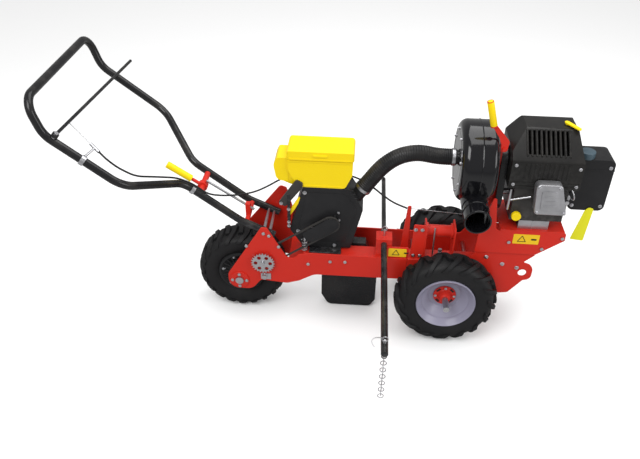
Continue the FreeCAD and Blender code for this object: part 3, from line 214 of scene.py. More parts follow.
def build_grain() -> bpy.types.NodeTree:
    """Fine relief of a surface, such as orange peel, cast skin or moulded grain.

    Returns:
        The group, with inputs Scale and Depth and outputs Height and Fine.
    """
    group = GroupBuilder(
        "fine_grain", {"Scale": 200.0, "Depth": 0.5}, {"Height": "Float", "Fine": "Float"})
    relief = group.noise(group.start.outputs["Scale"], detail=3.0, rough=0.5)
    height = group.maths("MULTIPLY", relief, group.start.outputs["Depth"])
    group.wire(height, group.end.inputs["Height"])
    group.wire(relief, group.end.inputs["Fine"])
    return group.tree


class Effects:
    """The shader groups that several finishes share."""

    def __init__(self) -> None:
        """Build every group once."""
        self.wear = build_edge_wear()
        self.dust = build_dust()
        self.tint = build_tint()
        self.grain = build_grain()


EFFECTS = Effects()


# ------------------------------------------------------------------ finishes


@dataclass(frozen=True)
class Finish:
    """One material of the machine, with its colour, gloss, relief and wear."""

    name: str
    slot: str
    colour: Point
    shade: Point
    roughness: float = 0.4
    roughness_spread: float = 0.12
    metallic: float = 0.0
    coat: float = 0.0
    grain_scale: float = 220.0
    grain_depth: float = 0.15
    tint: float = 0.35
    tint_scale: float = 6.0
    wear: float = 0.0
    worn: Point = (0.45, 0.44, 0.43)
    dust: float = 0.0
    dust_colour: Point = (0.30, 0.27, 0.23)
    specular: float = 0.26
    coat_roughness: float = 0.08
    bump_strength: float = 0.35
    bump_distance: float = 0.0008

    def build(self) -> bpy.types.Material:
        """Make the node material.

        Returns:
            The material, built with the shared shader groups.
        """
        made = bpy.data.materials.new(self.name)
        made.use_nodes = True
        nodes, links = made.node_tree.nodes, made.node_tree.links
        shader = nodes["Principled BSDF"]
        shader.inputs["Metallic"].default_value = self.metallic
        shader.inputs["Coat Weight"].default_value = self.coat
        shader.inputs["Coat Roughness"].default_value = self.coat_roughness
        shader.inputs["Specular IOR Level"].default_value = self.specular

        def group(tree: bpy.types.NodeTree, **values: float) -> bpy.types.Node:
            """Place a shared group and set its number inputs."""
            placed = nodes.new("ShaderNodeGroup")
            placed.node_tree = tree
            for name, value in values.items():
                placed.inputs[name].default_value = value
            return placed

        tint = group(EFFECTS.tint, Amount=self.tint, Scale=self.tint_scale)
        tint.inputs["Colour"].default_value = (*self.colour, 1)
        tint.inputs["Shade"].default_value = (*self.shade, 1)
        colour = tint.outputs["Colour"]
        for tree, amount, over in (
            (EFFECTS.wear, self.wear, self.worn),
            (EFFECTS.dust, self.dust, self.dust_colour),
        ):
            if amount <= 0:
                continue
            mask = group(tree, Amount=amount)
            mixer = nodes.new("ShaderNodeMix")
            mixer.data_type = "RGBA"
            links.new(mask.outputs["Mask"], mixer.inputs[0])
            links.new(colour, mixer.inputs[6])
            mixer.inputs[7].default_value = (*over, 1)
            colour = mixer.outputs[2]
        links.new(colour, shader.inputs["Base Color"])

        grain = group(EFFECTS.grain, Scale=self.grain_scale, Depth=self.grain_depth)
        rough = nodes.new("ShaderNodeMapRange")
        rough.inputs["To Min"].default_value = max(0.03, self.roughness - self.roughness_spread)
        rough.inputs["To Max"].default_value = min(1.0, self.roughness + self.roughness_spread)
        links.new(grain.outputs["Fine"], rough.inputs["Value"])
        links.new(rough.outputs["Result"], shader.inputs["Roughness"])
        bump = nodes.new("ShaderNodeBump")
        bump.inputs["Strength"].default_value = self.bump_strength
        bump.inputs["Distance"].default_value = self.bump_distance
        links.new(grain.outputs["Height"], bump.inputs["Height"])
        links.new(bump.outputs["Normal"], shader.inputs["Normal"])
        return made


RED_PAINT = Finish(
    "red_enamel", "red_paint", (0.56, 0.021, 0.011), (0.48, 0.014, 0.008), roughness=0.32,
    coat=0.06, grain_scale=260, tint=0.18, wear=0.25, worn=(0.30, 0.04, 0.025), dust=0.02)
BLACK_PAINT = Finish(
    "black_enamel", "black_paint", (0.008, 0.008, 0.009), (0.018, 0.018, 0.020), roughness=0.24,
    coat=0.25, grain_scale=240, wear=0.3, worn=(0.10, 0.10, 0.11), dust=0.08)
ZINC = Finish(
    "bright_zinc", "zinc", (0.62, 0.62, 0.64), (0.46, 0.46, 0.49), roughness=0.30, metallic=1.0,
    grain_scale=420, tint_scale=30, dust=0.05)
TYRE_RUBBER = Finish(
    "tyre_rubber", "tyre_rubber", (0.009, 0.009, 0.010), (0.016, 0.015, 0.015), roughness=0.55,
    grain_scale=500, grain_depth=0.35, dust=0.12, dust_colour=(0.045, 0.042, 0.040))
RIM_GREY = Finish(
    "rim_grey_paint", "rim_grey", (0.27, 0.26, 0.34), (0.22, 0.21, 0.29), roughness=0.34, coat=0.2,
    wear=0.3, worn=(0.20, 0.19, 0.23), dust=0.08, dust_colour=(0.20, 0.19, 0.20))
YELLOW = Finish(
    "yellow_moulding", "yellow_plastic", (0.84, 0.62, 0.004), (0.80, 0.56, 0.004), roughness=0.32,
    grain_scale=160, grain_depth=0.10, tint=0.30)
BLACK_PLASTIC = Finish(
    "black_moulding", "black_plastic", (0.012, 0.012, 0.013), (0.022, 0.022, 0.024),
    roughness=0.42, grain_scale=600, grain_depth=0.5, dust=0.12, dust_colour=(0.08, 0.078, 0.075))
GLOSS_BLACK = Finish(
    "gloss_black_shell", "gloss_black", (0.004, 0.004, 0.005), (0.008, 0.008, 0.010),
    roughness=0.14, roughness_spread=0.05, coat=0.6, grain_scale=90, grain_depth=0.06)
ENGINE_ALLOY = Finish(
    "cast_alloy", "engine_alloy", (0.52, 0.52, 0.54), (0.34, 0.34, 0.36), roughness=0.42,
    metallic=0.9, grain_scale=320, grain_depth=0.6, tint=0.5, tint_scale=24, dust=0.10)
ENGINE_COVER = Finish(
    "engine_black", "engine_cover", (0.009, 0.0085, 0.008), (0.016, 0.015, 0.014), roughness=0.34,
    grain_scale=420, grain_depth=0.35, tint=0.25, coat=0.12, wear=0.25, worn=(0.05, 0.048, 0.045),
    dust=0.02)
ENGINE_GREY = Finish(
    "engine_dark_grey", "engine_alloy", (0.030, 0.028, 0.027), (0.050, 0.048, 0.046),
    roughness=0.42, grain_scale=320, grain_depth=0.5, tint=0.4, tint_scale=20, wear=0.5,
    worn=(0.16, 0.155, 0.15), dust=0.04)
HOSE_RUBBER = Finish(
    "hose_rubber", "hose_rubber", (0.010, 0.010, 0.011), (0.020, 0.020, 0.021), roughness=0.34,
    grain_scale=380, grain_depth=0.25, dust=0.10)
CABLE_SHEATH = Finish(
    "cable_sheath", "cable_rubber", (0.008, 0.008, 0.009), (0.014, 0.014, 0.015), roughness=0.4,
    grain_scale=500, grain_depth=0.2)
KNOB_GREY = Finish(
    "blue_grey_knob", "black_plastic", (0.055, 0.085, 0.105), (0.04, 0.06, 0.08), roughness=0.3,
    grain_scale=300, grain_depth=0.15)
LABEL_YELLOW = Finish(
    "label_film", "yellow_plastic", (0.78, 0.50, 0.015), (0.74, 0.46, 0.015), roughness=0.35,
    tint=0.2)
LABEL_PRINT = Finish(
    "label_print", "black_plastic", (0.012, 0.012, 0.012), (0.02, 0.02, 0.02), roughness=0.5)
TAG_YELLOW = Finish(
    "tag_card", "yellow_plastic", (0.74, 0.72, 0.02), (0.68, 0.66, 0.02), roughness=0.55,
    tint=0.25)


class Palette:
    """Builds each finish once, when it is first asked for."""

    def __init__(self) -> None:
        """Start with no material made."""
        self.made: dict[str, bpy.types.Material] = {}

    def material(self, finish: Finish) -> bpy.types.Material:
        """The node material of a finish."""
        if finish.name not in self.made:
            self.made[finish.name] = finish.build()
        return self.made[finish.name]


PALETTE = Palette()


# ------------------------------------------------------------------ mesh building


def smooth_by_angle(mesh: bpy.types.Mesh, limit: float) -> None:
    """Shade a mesh smooth, with sharp edges where its faces turn by more than limit, in radians."""
    work = bmesh.new()
    work.from_mesh(mesh)
    for face in work.faces:
        face.smooth = True
    for edge in work.edges:
        edge.smooth = len(edge.link_faces) == 2 and edge.calc_face_angle(0.0) < limit
    work.to_mesh(mesh)
    work.free()


def along(start: Vector, end: Vector) -> Matrix:
    """The placement that puts the origin at start and turns +Z towards end."""
    return Matrix.Translation(start) @ (end - start).to_track_quat("Z", "Y").to_matrix().to_4x4()


class Form:
    """A mesh under construction in the machine's frame, in metres, made by bmesh operators."""

    def __init__(self) -> None:
        """Start with nothing."""
        self.mesh = bmesh.new()

    def soften(self, edges: Iterable[bmesh.types.BMEdge], size: float, steps: int = 2) -> None:
        """Round some edges.

        Args:
            edges: the edges to round.
            size: how far back the rounding starts, in metres.
            steps: faces across the rounding.
        """
        if size > 0:
            bmesh.ops.bevel(
                self.mesh, geom=list(edges), offset=size, offset_type="OFFSET", segments=steps,
                profile=0.5, affect="EDGES", material=-1, clamp_overlap=True)

    def rod(
        self, start: Sequence[float], end: Sequence[float], radius: float, sides: int = 28,
        rim: float = 0.0,
    ) -> None:
        """A closed round bar.

        Args:
            start: centre of the first end.
            end: centre of the other end.
            radius: its radius.
            sides: number of flats round it.
            rim: rounding of the two rims.
        """
        start, end = Vector(start), Vector(end)
        length = (end - start).length
        seat = along(start, end) @ Matrix.Translation((0, 0, length / 2))
        made = bmesh.ops.create_cone(
            self.mesh, cap_ends=True, cap_tris=False, segments=sides, radius1=radius,
            radius2=radius, depth=length, matrix=seat)
        faces = {face for vert in made["verts"] for face in vert.link_faces}
        self.soften({edge for face in faces if len(face.verts) > 4 for edge in face.edges}, rim)

    def block(
        self, low: Sequence[float], high: Sequence[float], rim: float = 0.0,
        seat: Matrix | None = None,
    ) -> None:
        """A closed block between two corners of a placement's frame.

        Args:
            low: lowest corner.
            high: highest corner.
            rim: rounding of its edges.
            seat: the placement, the machine's own frame if left out.
        """
        low, high = Vector(low), Vector(high)
        shape = Matrix.Translation((low + high) / 2) @ Matrix.Diagonal((*(high - low), 1))
        placed = shape if seat is None else seat @ shape
        made = bmesh.ops.create_cube(self.mesh, size=1.0, matrix=placed)
        self.soften({edge for vert in made["verts"] for edge in vert.link_edges}, rim)

    def slab(
        self, outline: Sequence[Point], seat: Matrix, depth: float, rim: float = 0.0,
        steps: int = 5,
    ) -> None:
        """A plate of even thickness with rounded corners.

        Args:
            outline: corners (x, y, rounding) of the outline in the seat's XY plane.
            seat: placement of that plane; the plate grows along its +Z.
            depth: thickness of the plate.
            rim: rounding of the two outer edges all round.
            steps: faces across each rounded corner.
        """
        work, out = Form(), seat.to_3x3().col[2].normalized()
        corners = [work.mesh.verts.new(seat @ Vector((x, y, 0))) for x, y, _ in outline]
        base = work.mesh.faces.new(corners)
        grown = bmesh.ops.extrude_face_region(work.mesh, geom=[base])["geom"]
        tops = {item for item in grown if isinstance(item, bmesh.types.BMVert)}
        bmesh.ops.translate(work.mesh, verts=list(tops), vec=out * depth)
        uprights: dict[float, list[bmesh.types.BMEdge]] = {}
        for corner, (_, _, radius) in zip(corners, outline):
            upright = next(edge for edge in corner.link_edges if edge.other_vert(corner) in tops)
            uprights.setdefault(radius, []).append(upright)
        for radius, edges in sorted(uprights.items(), reverse=True):
            work.soften([edge for edge in edges if edge.is_valid], radius, steps)
        bmesh.ops.recalc_face_normals(work.mesh, faces=work.mesh.faces)
        if rim > 0:
            flat = 0.9
            caps = [face for face in work.mesh.faces if abs(face.normal.dot(out)) > flat]
            work.soften({edge for face in caps for edge in face.edges}, rim)
            bmesh.ops.recalc_face_normals(work.mesh, faces=work.mesh.faces)
        self.absorb(work.mesh)

    def lathe(self, profile: Sequence[tuple[float, float]], seat: Matrix, steps: int) -> None:
        """A shape turned about the seat's Z axis.

        Args:
            profile: corners (along the axis, radius) of a closed outline.
            seat: placement whose Z is the axis.
            steps: flats round the axis.
        """
        work = bmesh.new()
        corners = [work.verts.new((radius, 0, height)) for height, radius in profile]
        edges = [work.edges.new(pair) for pair in zip(corners, [*corners[1:], corners[0]])]
        bmesh.ops.spin(
            work, geom=[*corners, *edges], cent=(0, 0, 0), axis=(0, 0, 1), angle=math.tau,
            steps=steps, use_merge=True)
        self.absorb(work, seat)

    def ring(self, seat: Matrix, radius: float, wire: float, steps: int, sides: int) -> None:
        """A round ring about the seat's Z axis."""
        turns = [math.tau * index / sides for index in range(sides)]
        profile = [(wire * math.sin(turn), radius + wire * math.cos(turn)) for turn in turns]
        self.lathe(profile, seat, steps)

    def wire(self, points: Sequence[Point], radius: float) -> None:
        """A round wire along a smooth curve led by its points, closed at its ends."""
        curve = bpy.data.curves.new("route", "CURVE")
        curve.dimensions = "3D"
        line = curve.splines.new("NURBS")
        line.points.add(len(points) - 1)
        for place, point in zip(line.points, points):
            place.co = (*point, 1)
        line.order_u, line.resolution_u, line.use_endpoint_u = 3, 6, True
        curve.bevel_depth, curve.bevel_resolution, curve.use_fill_caps = radius, 3, True
        holder = bpy.data.objects.new("route", curve)
        made = bpy.data.meshes.new_from_object(holder)
        work = bmesh.new()
        work.from_mesh(made)
        self.absorb(work, Matrix.Identity(4))
        bpy.data.objects.remove(holder)
        bpy.data.curves.remove(curve)
        bpy.data.meshes.remove(made)

    def spring(self, start: Vector, end: Vector, radius: float, wire: float, turns: int) -> None:
        """A coil spring from start to end, with the radius of the coil and that of its wire."""
        steps_per_turn, sides = 14, 7
        work, steps = bmesh.new(), turns * steps_per_turn
        section = Matrix.Translation((radius, 0, 0)) @ Matrix.Rotation(math.pi / 2, 4, "X")
        made = bmesh.ops.create_circle(
            work, cap_ends=True, segments=sides, radius=wire, matrix=section)
        faces = list({face for vert in made["verts"] for face in vert.link_faces})
        bmesh.ops.spin(
            work, geom=[*made["verts"], *faces], cent=(0, 0, 0), axis=(0, 0, 1),
            dvec=(0, 0, (end - start).length / steps), angle=math.tau * turns, steps=steps,
            use_merge=False)
        self.absorb(work, along(start, end), 0.0)

    def bolt(
        self, centre: Sequence[float], aim: Sequence[float], size: float, washer: bool = True,
    ) -> None:
        """A hexagon head with a washer that stands on a face.

        Args:
            centre: where the screw's axis meets the face.
            aim: direction out of the face.
            size: width across the head's corners.
            washer: True puts a washer below the head.
        """
        washer_height, washer_radius, head_height = 0.12, 0.66, 0.42
        tip_height, tip_radius = 0.14, 0.24
        centre, aim = Vector(centre), Vector(aim).normalized()
        seat = centre
        if washer:
            seat = centre + aim * size * washer_height
            self.rod(centre, seat, size * washer_radius, sides=20)
        top = seat + aim * size * head_height
        self.rod(seat, top, size / 2, sides=6, rim=size * 0.05)
        self.rod(top, top + aim * size * tip_height, size * tip_radius, sides=12, rim=size * 0.03)

    def absorb(
        self, other: bmesh.types.BMesh, seat: Matrix | None = None, merge: float = MERGE,
    ) -> None:
        """Add another bmesh to this one and free it.

        Args:
            other: the bmesh to add.
            seat: where to place it, after its points are joined and its faces turned outwards;
                if left out, it is added as it is.
            merge: distance under which its points are joined, 0 to leave them.
        """
        if seat is not None:
            if merge > 0:
                bmesh.ops.remove_doubles(other, verts=other.verts, dist=merge)
            bmesh.ops.recalc_face_normals(other, faces=other.faces)
            bmesh.ops.transform(other, matrix=seat, verts=other.verts)
        made = bpy.data.meshes.new("part")
        other.to_mesh(made)
        other.free()
        self.mesh.from_mesh(made)
        bpy.data.meshes.remove(made)

    def piece(
        self, name: str, finish: Finish, body: str, replaces: Sequence[str] = (),
        angle: float = SHARP, bevel: float = 0.0,
    ) -> None:
        """Finish the mesh as a named piece of the machine.

        Args:
            name: the piece's name.
            finish: its finish.
            body: the body that it rides on.
            replaces: names of the nodes that it stands for.
            angle: angle above which an edge is sharp, in radians.
            bevel: size of a Bevel modifier on sharp edges, 0 for none.
        """
        made = bpy.data.meshes.new(name)
        self.mesh.to_mesh(made)
        self.mesh.free()
        smooth_by_angle(made, angle)
        made.materials.append(PALETTE.material(finish))
        item = bpy.data.objects.new(name, made)
        bpy.context.scene.collection.objects.link(item)
        if bevel > 0:
            add_bevel(item, bevel)
        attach(item, body)
        if replaces:
            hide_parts(*replaces)
        LOG.info("%s rides on %s", name, body)


FACE_NEAR = Matrix.Rotation(math.pi / 2, 4, "X")


def near_face(y: float) -> Matrix:
    """A placement whose XY plane is the machine's XZ plane at y and whose Z looks out to -Y."""
    return Matrix.Translation((0, y, 0)) @ FACE_NEAR


def add_bevel(item: bpy.types.Object, size: float) -> None:
    """Give an object a Bevel modifier that rounds its sharp edges by size."""
    rounding = item.modifiers.new("rounding", "BEVEL")
    rounding.width = size
    rounding.segments = 2
    rounding.limit_method = "ANGLE"
    rounding.angle_limit = math.radians(40)
    rounding.harden_normals = False


@dataclass
class Box:
    """The room that one node of the frame takes."""

    low: Vector
    high: Vector

    @classmethod
    def of(cls, node: str) -> "Box":
        """The room of the node called node."""
        return cls(*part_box(node))

    @property
    def centre(self) -> Vector:
        """Middle of the box."""
        return (self.low + self.high) / 2

    @property
    def size(self) -> Vector:
        """Length of the box along each axis."""
        return self.high - self.low


def node_form(node: str) -> Form:
    """A form that holds a copy of a frame node's mesh, with its faces joined."""
    form = Form()
    form.mesh.from_mesh(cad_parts[node].data)
    bmesh.ops.remove_doubles(form.mesh, verts=form.mesh.verts, dist=NODE_MERGE)
    return form


def refined(node: str, finish: Finish, body: str, rounding: float) -> None:
    """Make a copy of a frame node with merged faces and rounded edges, which stands for the node.

    Args:
        node: name of the node.
        finish: finish of the copy.
        body: the body that it rides on.
        rounding: size of the rounded edges, 0 for none.
    """
    form = node_form(node)
    if rounding > 0:
        bmesh.ops.dissolve_limit(
            form.mesh, angle_limit=math.radians(1.0), use_dissolve_boundaries=False,
            verts=form.mesh.verts, edges=form.mesh.edges)
    form.piece(f"{node}_finished", finish, body, [node], bevel=rounding)


def painted(node: str, finish: Finish) -> None:
    """Give a frame node that shows as it is its finish."""
    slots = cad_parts[node].material_slots
    material = PALETTE.material(finish)
    if not slots:
        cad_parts[node].data.materials.append(material)
    for slot in slots:
        slot.material = material
# ------------------------------------------------------------------ wheels


class Side(Enum):
    """A side of the machine, with the sign of its Y."""

    RIGHT = -1
    LEFT = 1

    @property
    def word(self) -> str:
        """The side's name in lower case."""
        return self.name.lower()

    def first_only(self, *nodes: str) -> list[str]:
        """The nodes for the right side, which is made first, and none for the left one."""
        return list(nodes) if self is Side.RIGHT else []


def y_axis(centre: Vector, side: float = 1.0) -> Matrix:
    """A placement at centre whose Z looks along +Y, or along -Y for side -1."""
    return Matrix.Translation(centre) @ Matrix.Rotation(-side * math.pi / 2, 4, "X")


@dataclass
class LugTyre:
    """A tractor tyre: a rounded carcass with slanted lugs on both halves of its tread."""

    centre: Vector
    outer: float
    half_width: float
    bead: float
    lugs: int = 16
    lug_height: float = 0.015
    lug_width: float = 0.023
    slant: float = 0.34
    slant_power: float = 1.15
    bulge: float = 3.0
    shoulder: float = 74.0
    overlap: float = 7.0
    wall: float = 0.010
    sink: float = 0.004
    waist_share: float = 0.42
    foot_share: float = 0.72
    top_width: float = 0.40
    root_width: float = 0.62
    flare: float = 0.25
    taper: float = 0.35
    sharp: float = math.radians(32)

    def section(self, degrees: float, proud: float = 0.0) -> tuple[float, float]:
        """A point of the carcass section.

        Args:
            degrees: 0 at the crown and 90 at the widest place.
            proud: height above the carcass.

        Returns:
            The place across the tyre and the radius.
        """
        crown = self.outer - self.lug_height
        waist = self.bead + (crown - self.bead) * self.waist_share
        turn = math.radians(abs(degrees))
        across = (self.half_width - self.sink) * math.sin(turn) ** (2 / self.bulge)
        radius = waist + (crown - waist) * math.cos(turn) ** (2 / self.bulge)
        side = math.sin(turn) ** 2
        return math.copysign(across + proud * side, degrees), radius + proud * (1 - side)

    def carcass(self, form: Form) -> None:
        """Turn the carcass, with its beads and its hollow inside."""
        half_sweep = [8, 20, 32, 44, 56, 68, 80, 89.9]
        sweep = [*(-angle for angle in reversed(half_sweep)), *half_sweep]
        outside = [self.section(angle) for angle in sweep]
        foot = self.half_width * self.foot_share
        swell = foot + (self.half_width - self.sink - foot) * 0.75
        left = [(-foot, self.bead), (-swell, self.bead + (outside[0][1] - self.bead) * 0.45)]
        right = [(-across, radius) for across, radius in reversed(left)]
        inside = [(foot - self.wall, self.bead), (self.wall - foot, self.bead)]
        form.lathe([*left, *outside, *right, *inside], y_axis(self.centre), steps=112)

    def lug(self, form: Form, angle: float, side: int) -> None:
        """One lug, from just past the crown's middle down over the shoulder.

        Args:
            form: the form that takes it.
            angle: place round the tyre of its inner end.
            side: 1 or -1, the half of the tread.
        """
        work = bmesh.new()
        bmesh.ops.create_cube(work, size=1.0)
        lengthwise = [edge for edge in work.edges
                      if abs((edge.verts[0].co - edge.verts[1].co).x) > 0.5]
        bmesh.ops.subdivide_edges(work, edges=lengthwise, cuts=6, use_grid_fill=True)
        for vert in work.verts:
            share = vert.co.x + 0.5
            on_top = vert.co.z > 0
            sweep = (self.shoulder + self.overlap) * share - self.overlap
            proud = self.lug_height * (1 - self.taper * share ** 3) if on_top else -self.sink
            across, radius = self.section(math.copysign(max(abs(sweep), 0.01), sweep), proud)
            if on_top:
                across = min(across, self.half_width)
            half = self.lug_width * (self.top_width if on_top else self.root_width)
            half *= 1 + self.flare * share
            around = angle - self.slant * share ** self.slant_power
            around += vert.co.y * 2 * half / self.outer
            vert.co = (radius * math.sin(around), side * across, radius * math.cos(around))
        form.absorb(work, Matrix.Translation(self.centre), 0.0)

    def build(self, name: str, body: str, replaces: Sequence[str] = ()) -> None:
        """Make the tyre as one piece."""
        form = Form()
        self.carcass(form)
        pitch = math.tau / self.lugs
        for index in range(self.lugs):
            self.lug(form, index * pitch, 1)
            self.lug(form, (index + 0.5) * pitch, -1)
        form.piece(name, TYRE_RUBBER, body, replaces, angle=self.sharp)


@dataclass
class FrontWheel:
    """A front wheel's rim and hub: a stepped dish, a hub whose windows are black patches of painted
    shade, and the end of the axle.
    """

    centre: Vector
    side: Side
    rim_radius: float
    half_width: float
    hub_radius: float = 0.046
    axle_radius: float = 0.0125
    edge_share: float = 0.86
    # The hub's windows are not openings: they are thin black patches of painted shade on the flange
    # face.
    windows: int = 4
    stud_circle: float = 0.038
    stud_size: float = 0.012
    window: tuple[Point, Point] = ((-0.010, 0.0335, 0.0055), (0.010, 0.0425, 0.0072))
    steps: tuple[tuple[float, float], ...] = (
        (0.0, 0.000), (-0.004, 0.006), (-0.010, 0.008), (-0.014, 0.014), (-0.024, 0.019),
        (-0.034, 0.022), (-0.038, 0.030), (-0.048, 0.034), (-0.052, 0.042), (-0.060, 0.048),
    )

    @property
    def seat(self) -> Matrix:
        """A placement whose Z looks out of the wheel."""
        return y_axis(self.centre, self.side.value)

    def rim(self) -> None:
        """The pressed rim: rolled edges, a stepped dish and a flat centre."""
        edge, top = self.half_width * self.edge_share, self.rim_radius
        neck = self.hub_radius - 0.004
        dish = [(edge + forward, top - inward) for forward, inward in self.steps]
        front, back = dish[-1][0], dish[-1][0] - 0.004
        profile = [
            (edge, top + 0.006), (edge + 0.004, top + 0.003), *dish, (front, neck), (back, neck),
            (back, top - 0.054), (back + 0.006, top - 0.046), (edge - 0.028, top - 0.026),
            (edge - 0.020, top - 0.006), (-edge, top - 0.006), (-edge, top + 0.006),
            (-edge + 0.005, top + 0.006), (-edge + 0.005, top - 0.001), (edge - 0.005, top - 0.001),
            (edge - 0.005, top + 0.006),
        ]
        form = Form()
        form.lathe(profile, self.seat, steps=96)
        form.piece(f"front_rim_{self.side.word}", RIM_GREY, "front_wheels",
                   self.side.first_only("front_rims"), bevel=0.0008)

    def hub(self) -> None:
        """The red hub flange with its studs, the neck on the axle, and black patches of painted
        shade where its windows are.
        """
        seat, word = self.seat, self.side.word
        face = self.half_width * self.edge_share + self.steps[-1][0]
        flange = [
            (0.0, self.axle_radius), (0.0, self.hub_radius), (0.005, self.hub_radius),
            (0.006, self.hub_radius - 0.001), (0.006, 0.030), (0.010, 0.026), (0.026, 0.022),
            (0.030, 0.019), (0.030, self.axle_radius),
        ]
        form = Form()
        form.lathe([(face + forward, radius) for forward, radius in flange], seat, steps=56)
        form.piece(f"front_hub_{word}", RED_PAINT, "front_wheels",
                   self.side.first_only("front_hubs"), bevel=0.0006)
        # Each window is a thin black sheet on the flange: painted shade in place of an opening into
        # the dark inside of the wheel.
        windows, studs = Form(), Form()
        low, high = (Vector(corner) + Vector((0, 0, face)) for corner in self.window)
        for index in range(self.windows):
            turn = Matrix.Rotation(index * math.tau / self.windows, 4, "Z")
            windows.block(low, high, 0.002, seat @ turn @ Matrix.Rotation(math.pi / 4, 4, "Z"))
            studs.bolt(seat @ turn @ Vector((0, self.stud_circle, face + 0.006)),
                       seat.to_3x3() @ Vector((0, 0, 1)), self.stud_size, washer=False)
        windows.piece(f"hub_windows_{word}", BLACK_PLASTIC, "front_wheels")
        studs.piece(f"hub_studs_{word}", ZINC, "front_wheels")


@dataclass
class RearWheel:
    """The rear press wheel: a ribbed black disc between two bolted rings."""

    tyre: Box
    disc: Box
    ribs: int = 24
    bolts: int = 6
    bolt_turn: float = 0.35
    bolt_circle: float = 0.80
    bolt_size: float = 0.013

    def build(self) -> None:
        """Make the side discs with their ribs and bolts."""
        half, radius = self.tyre.size.y / 2, self.disc.size.z / 2
        outer = half - 0.006
        profile = [
            (outer - 0.050, radius), (outer - 0.012, radius), (outer - 0.006, radius - 0.004),
            (outer - 0.004, radius - 0.012), (outer - 0.012, radius - 0.020),
            (outer - 0.016, 0.060), (outer - 0.010, 0.050), (outer - 0.008, 0.036),
            (outer, 0.032), (half, 0.027), (half, 0.0175), (outer - 0.050, 0.0175),
        ]
        rib = (-0.0025, 0.052, outer - 0.020), (0.0025, radius - 0.010, outer - 0.0085)
        for side in Side:
            seat = y_axis(self.tyre.centre, side.value)
            form, screws = Form(), Form()
            form.lathe(profile, seat, steps=80)
            for index in range(self.ribs):
                turn = Matrix.Rotation(index * math.tau / self.ribs, 4, "Z")
                form.block(*rib, 0.001, seat @ turn)
            form.piece(f"rear_disc_{side.word}", BLACK_PLASTIC, "rear_wheel",
                       side.first_only("rear_wheel_disc"))
            for index in range(self.bolts):
                turn = Matrix.Rotation((index + self.bolt_turn) * math.tau / self.bolts, 4, "Z")
                place = seat @ turn @ Vector((0, radius * self.bolt_circle, outer - 0.014))
                screws.bolt(place, seat.to_3x3() @ Vector((0, 0, 1)), self.bolt_size)
            screws.piece(f"rear_disc_bolts_{side.word}", ZINC, "rear_wheel")


@dataclass
class Wheels:
    """All the wheels of the machine."""

    name: str = "wheels"
    tyre_width: float = 0.110
    rim_radius: float = 0.1125

    def build(self) -> None:
        """Make the two front wheels and the rear wheel."""
        tyres, rear, disc = map(Box.of, ("front_tyres", "rear_tyre", "rear_wheel_disc"))
        half = self.tyre_width / 2
        for side in Side:
            across = side.value * (tyres.size.y / 2 - half)
            centre = Vector((tyres.centre.x, across, tyres.centre.z))
            tyre = LugTyre(centre, tyres.size.z / 2, half, self.rim_radius)
            tyre.build(f"front_tyre_{side.word}", "front_wheels", side.first_only("front_tyres"))
            wheel = FrontWheel(centre, side, self.rim_radius, half)
            wheel.rim()
            wheel.hub()
        painted("front_axle", ZINC)
        tread = LugTyre(
            rear.centre, rear.size.z / 2, rear.size.y / 2, disc.size.z / 2, lugs=20,
            lug_height=0.011, lug_width=0.022, slant=0.20, bulge=4.2, shoulder=70)
        tread.build("rear_tyre_tread", "rear_wheel", ["rear_tyre"])
        RearWheel(rear, disc).build()
        painted("rear_axle", ZINC)


# ------------------------------------------------------------------ shapes and pieces as data


class Shape(Protocol):
    """Something that can be added to a form."""

    def add_to(self, form: Form) -> None:
        """Add the shape to a form."""


class Part(Protocol):
    """Something that makes one or more pieces of the machine."""

    def build(self) -> None:
        """Make the pieces."""


@dataclass(frozen=True)
class Block:
    """A closed block between two corners, in metres."""

    low: Point
    high: Point
    rim: float = 0.0

    def add_to(self, form: Form) -> None:
        """Add the block to a form."""
        form.block(self.low, self.high, self.rim)


@dataclass(frozen=True)
class Bar:
    """A closed round bar between two points, in metres."""

    start: Point
    end: Point
    radius: float
    sides: int = 28
    rim: float = 0.0

    def add_to(self, form: Form) -> None:
        """Add the bar to a form."""
        form.rod(self.start, self.end, self.radius, sides=self.sides, rim=self.rim)


@dataclass(frozen=True)
class Coil:
    """A coil spring between two points, in metres."""

    start: Point
    end: Point
    radius: float
    wire: float
    turns: int

    def add_to(self, form: Form) -> None:
        """Add the spring to a form."""
        form.spring(Vector(self.start), Vector(self.end), self.radius, self.wire, self.turns)


@dataclass(frozen=True)
class Wire:
    """A bent wire led by its points, in metres."""

    points: tuple[Point, ...]
    radius: float

    def add_to(self, form: Form) -> None:
        """Add the wire to a form."""
        form.wire(self.points, self.radius)


@dataclass(frozen=True)
class Loop:
    """A round ring that stands across the machine's width, in metres."""

    centre: Point
    radius: float
    wire: float
    steps: int
    sides: int

    def add_to(self, form: Form) -> None:
        """Add the ring to a form."""
        seat = Matrix.Translation(self.centre) @ FACE_NEAR
        form.ring(seat, self.radius, self.wire, self.steps, self.sides)


@dataclass(frozen=True)
class Plate:
    """A plate with rounded corners that grows from a face towards the near side.

    The outline's corners are (x, z, rounding) in millimetres, and the rest is in metres.
    """

    outline: tuple[Point, ...]
    face: float
    depth: float
    rim: float = 0.0
    steps: int = 5

    def add_to(self, form: Form) -> None:
        """Add the plate to a form."""
        outline = [(x * MM, z * MM, r * MM) for x, z, r in self.outline]
        form.slab(outline, near_face(self.face), self.depth, self.rim, self.steps)


@dataclass(frozen=True)
class Fitting:
    """One piece made of several shapes."""

    name: str
    finish: Finish
    shapes: tuple[Shape, ...]
    body: str = "chassis"

    def build(self) -> None:
        """Make the piece."""
        form = Form()
        for shape in self.shapes:
            shape.add_to(form)
        form.piece(self.name, self.finish, self.body)


@dataclass(frozen=True)
class Refined:
    """Some frame nodes that show with rounded edges in one finish."""

    nodes: tuple[str, ...]
    finish: Finish
    rounding: float = 0.0012
    body: str = "chassis"

    def build(self) -> None:
        """Make a finished copy of each node."""
        for node in self.nodes:
            refined(node, self.finish, self.body, self.rounding)


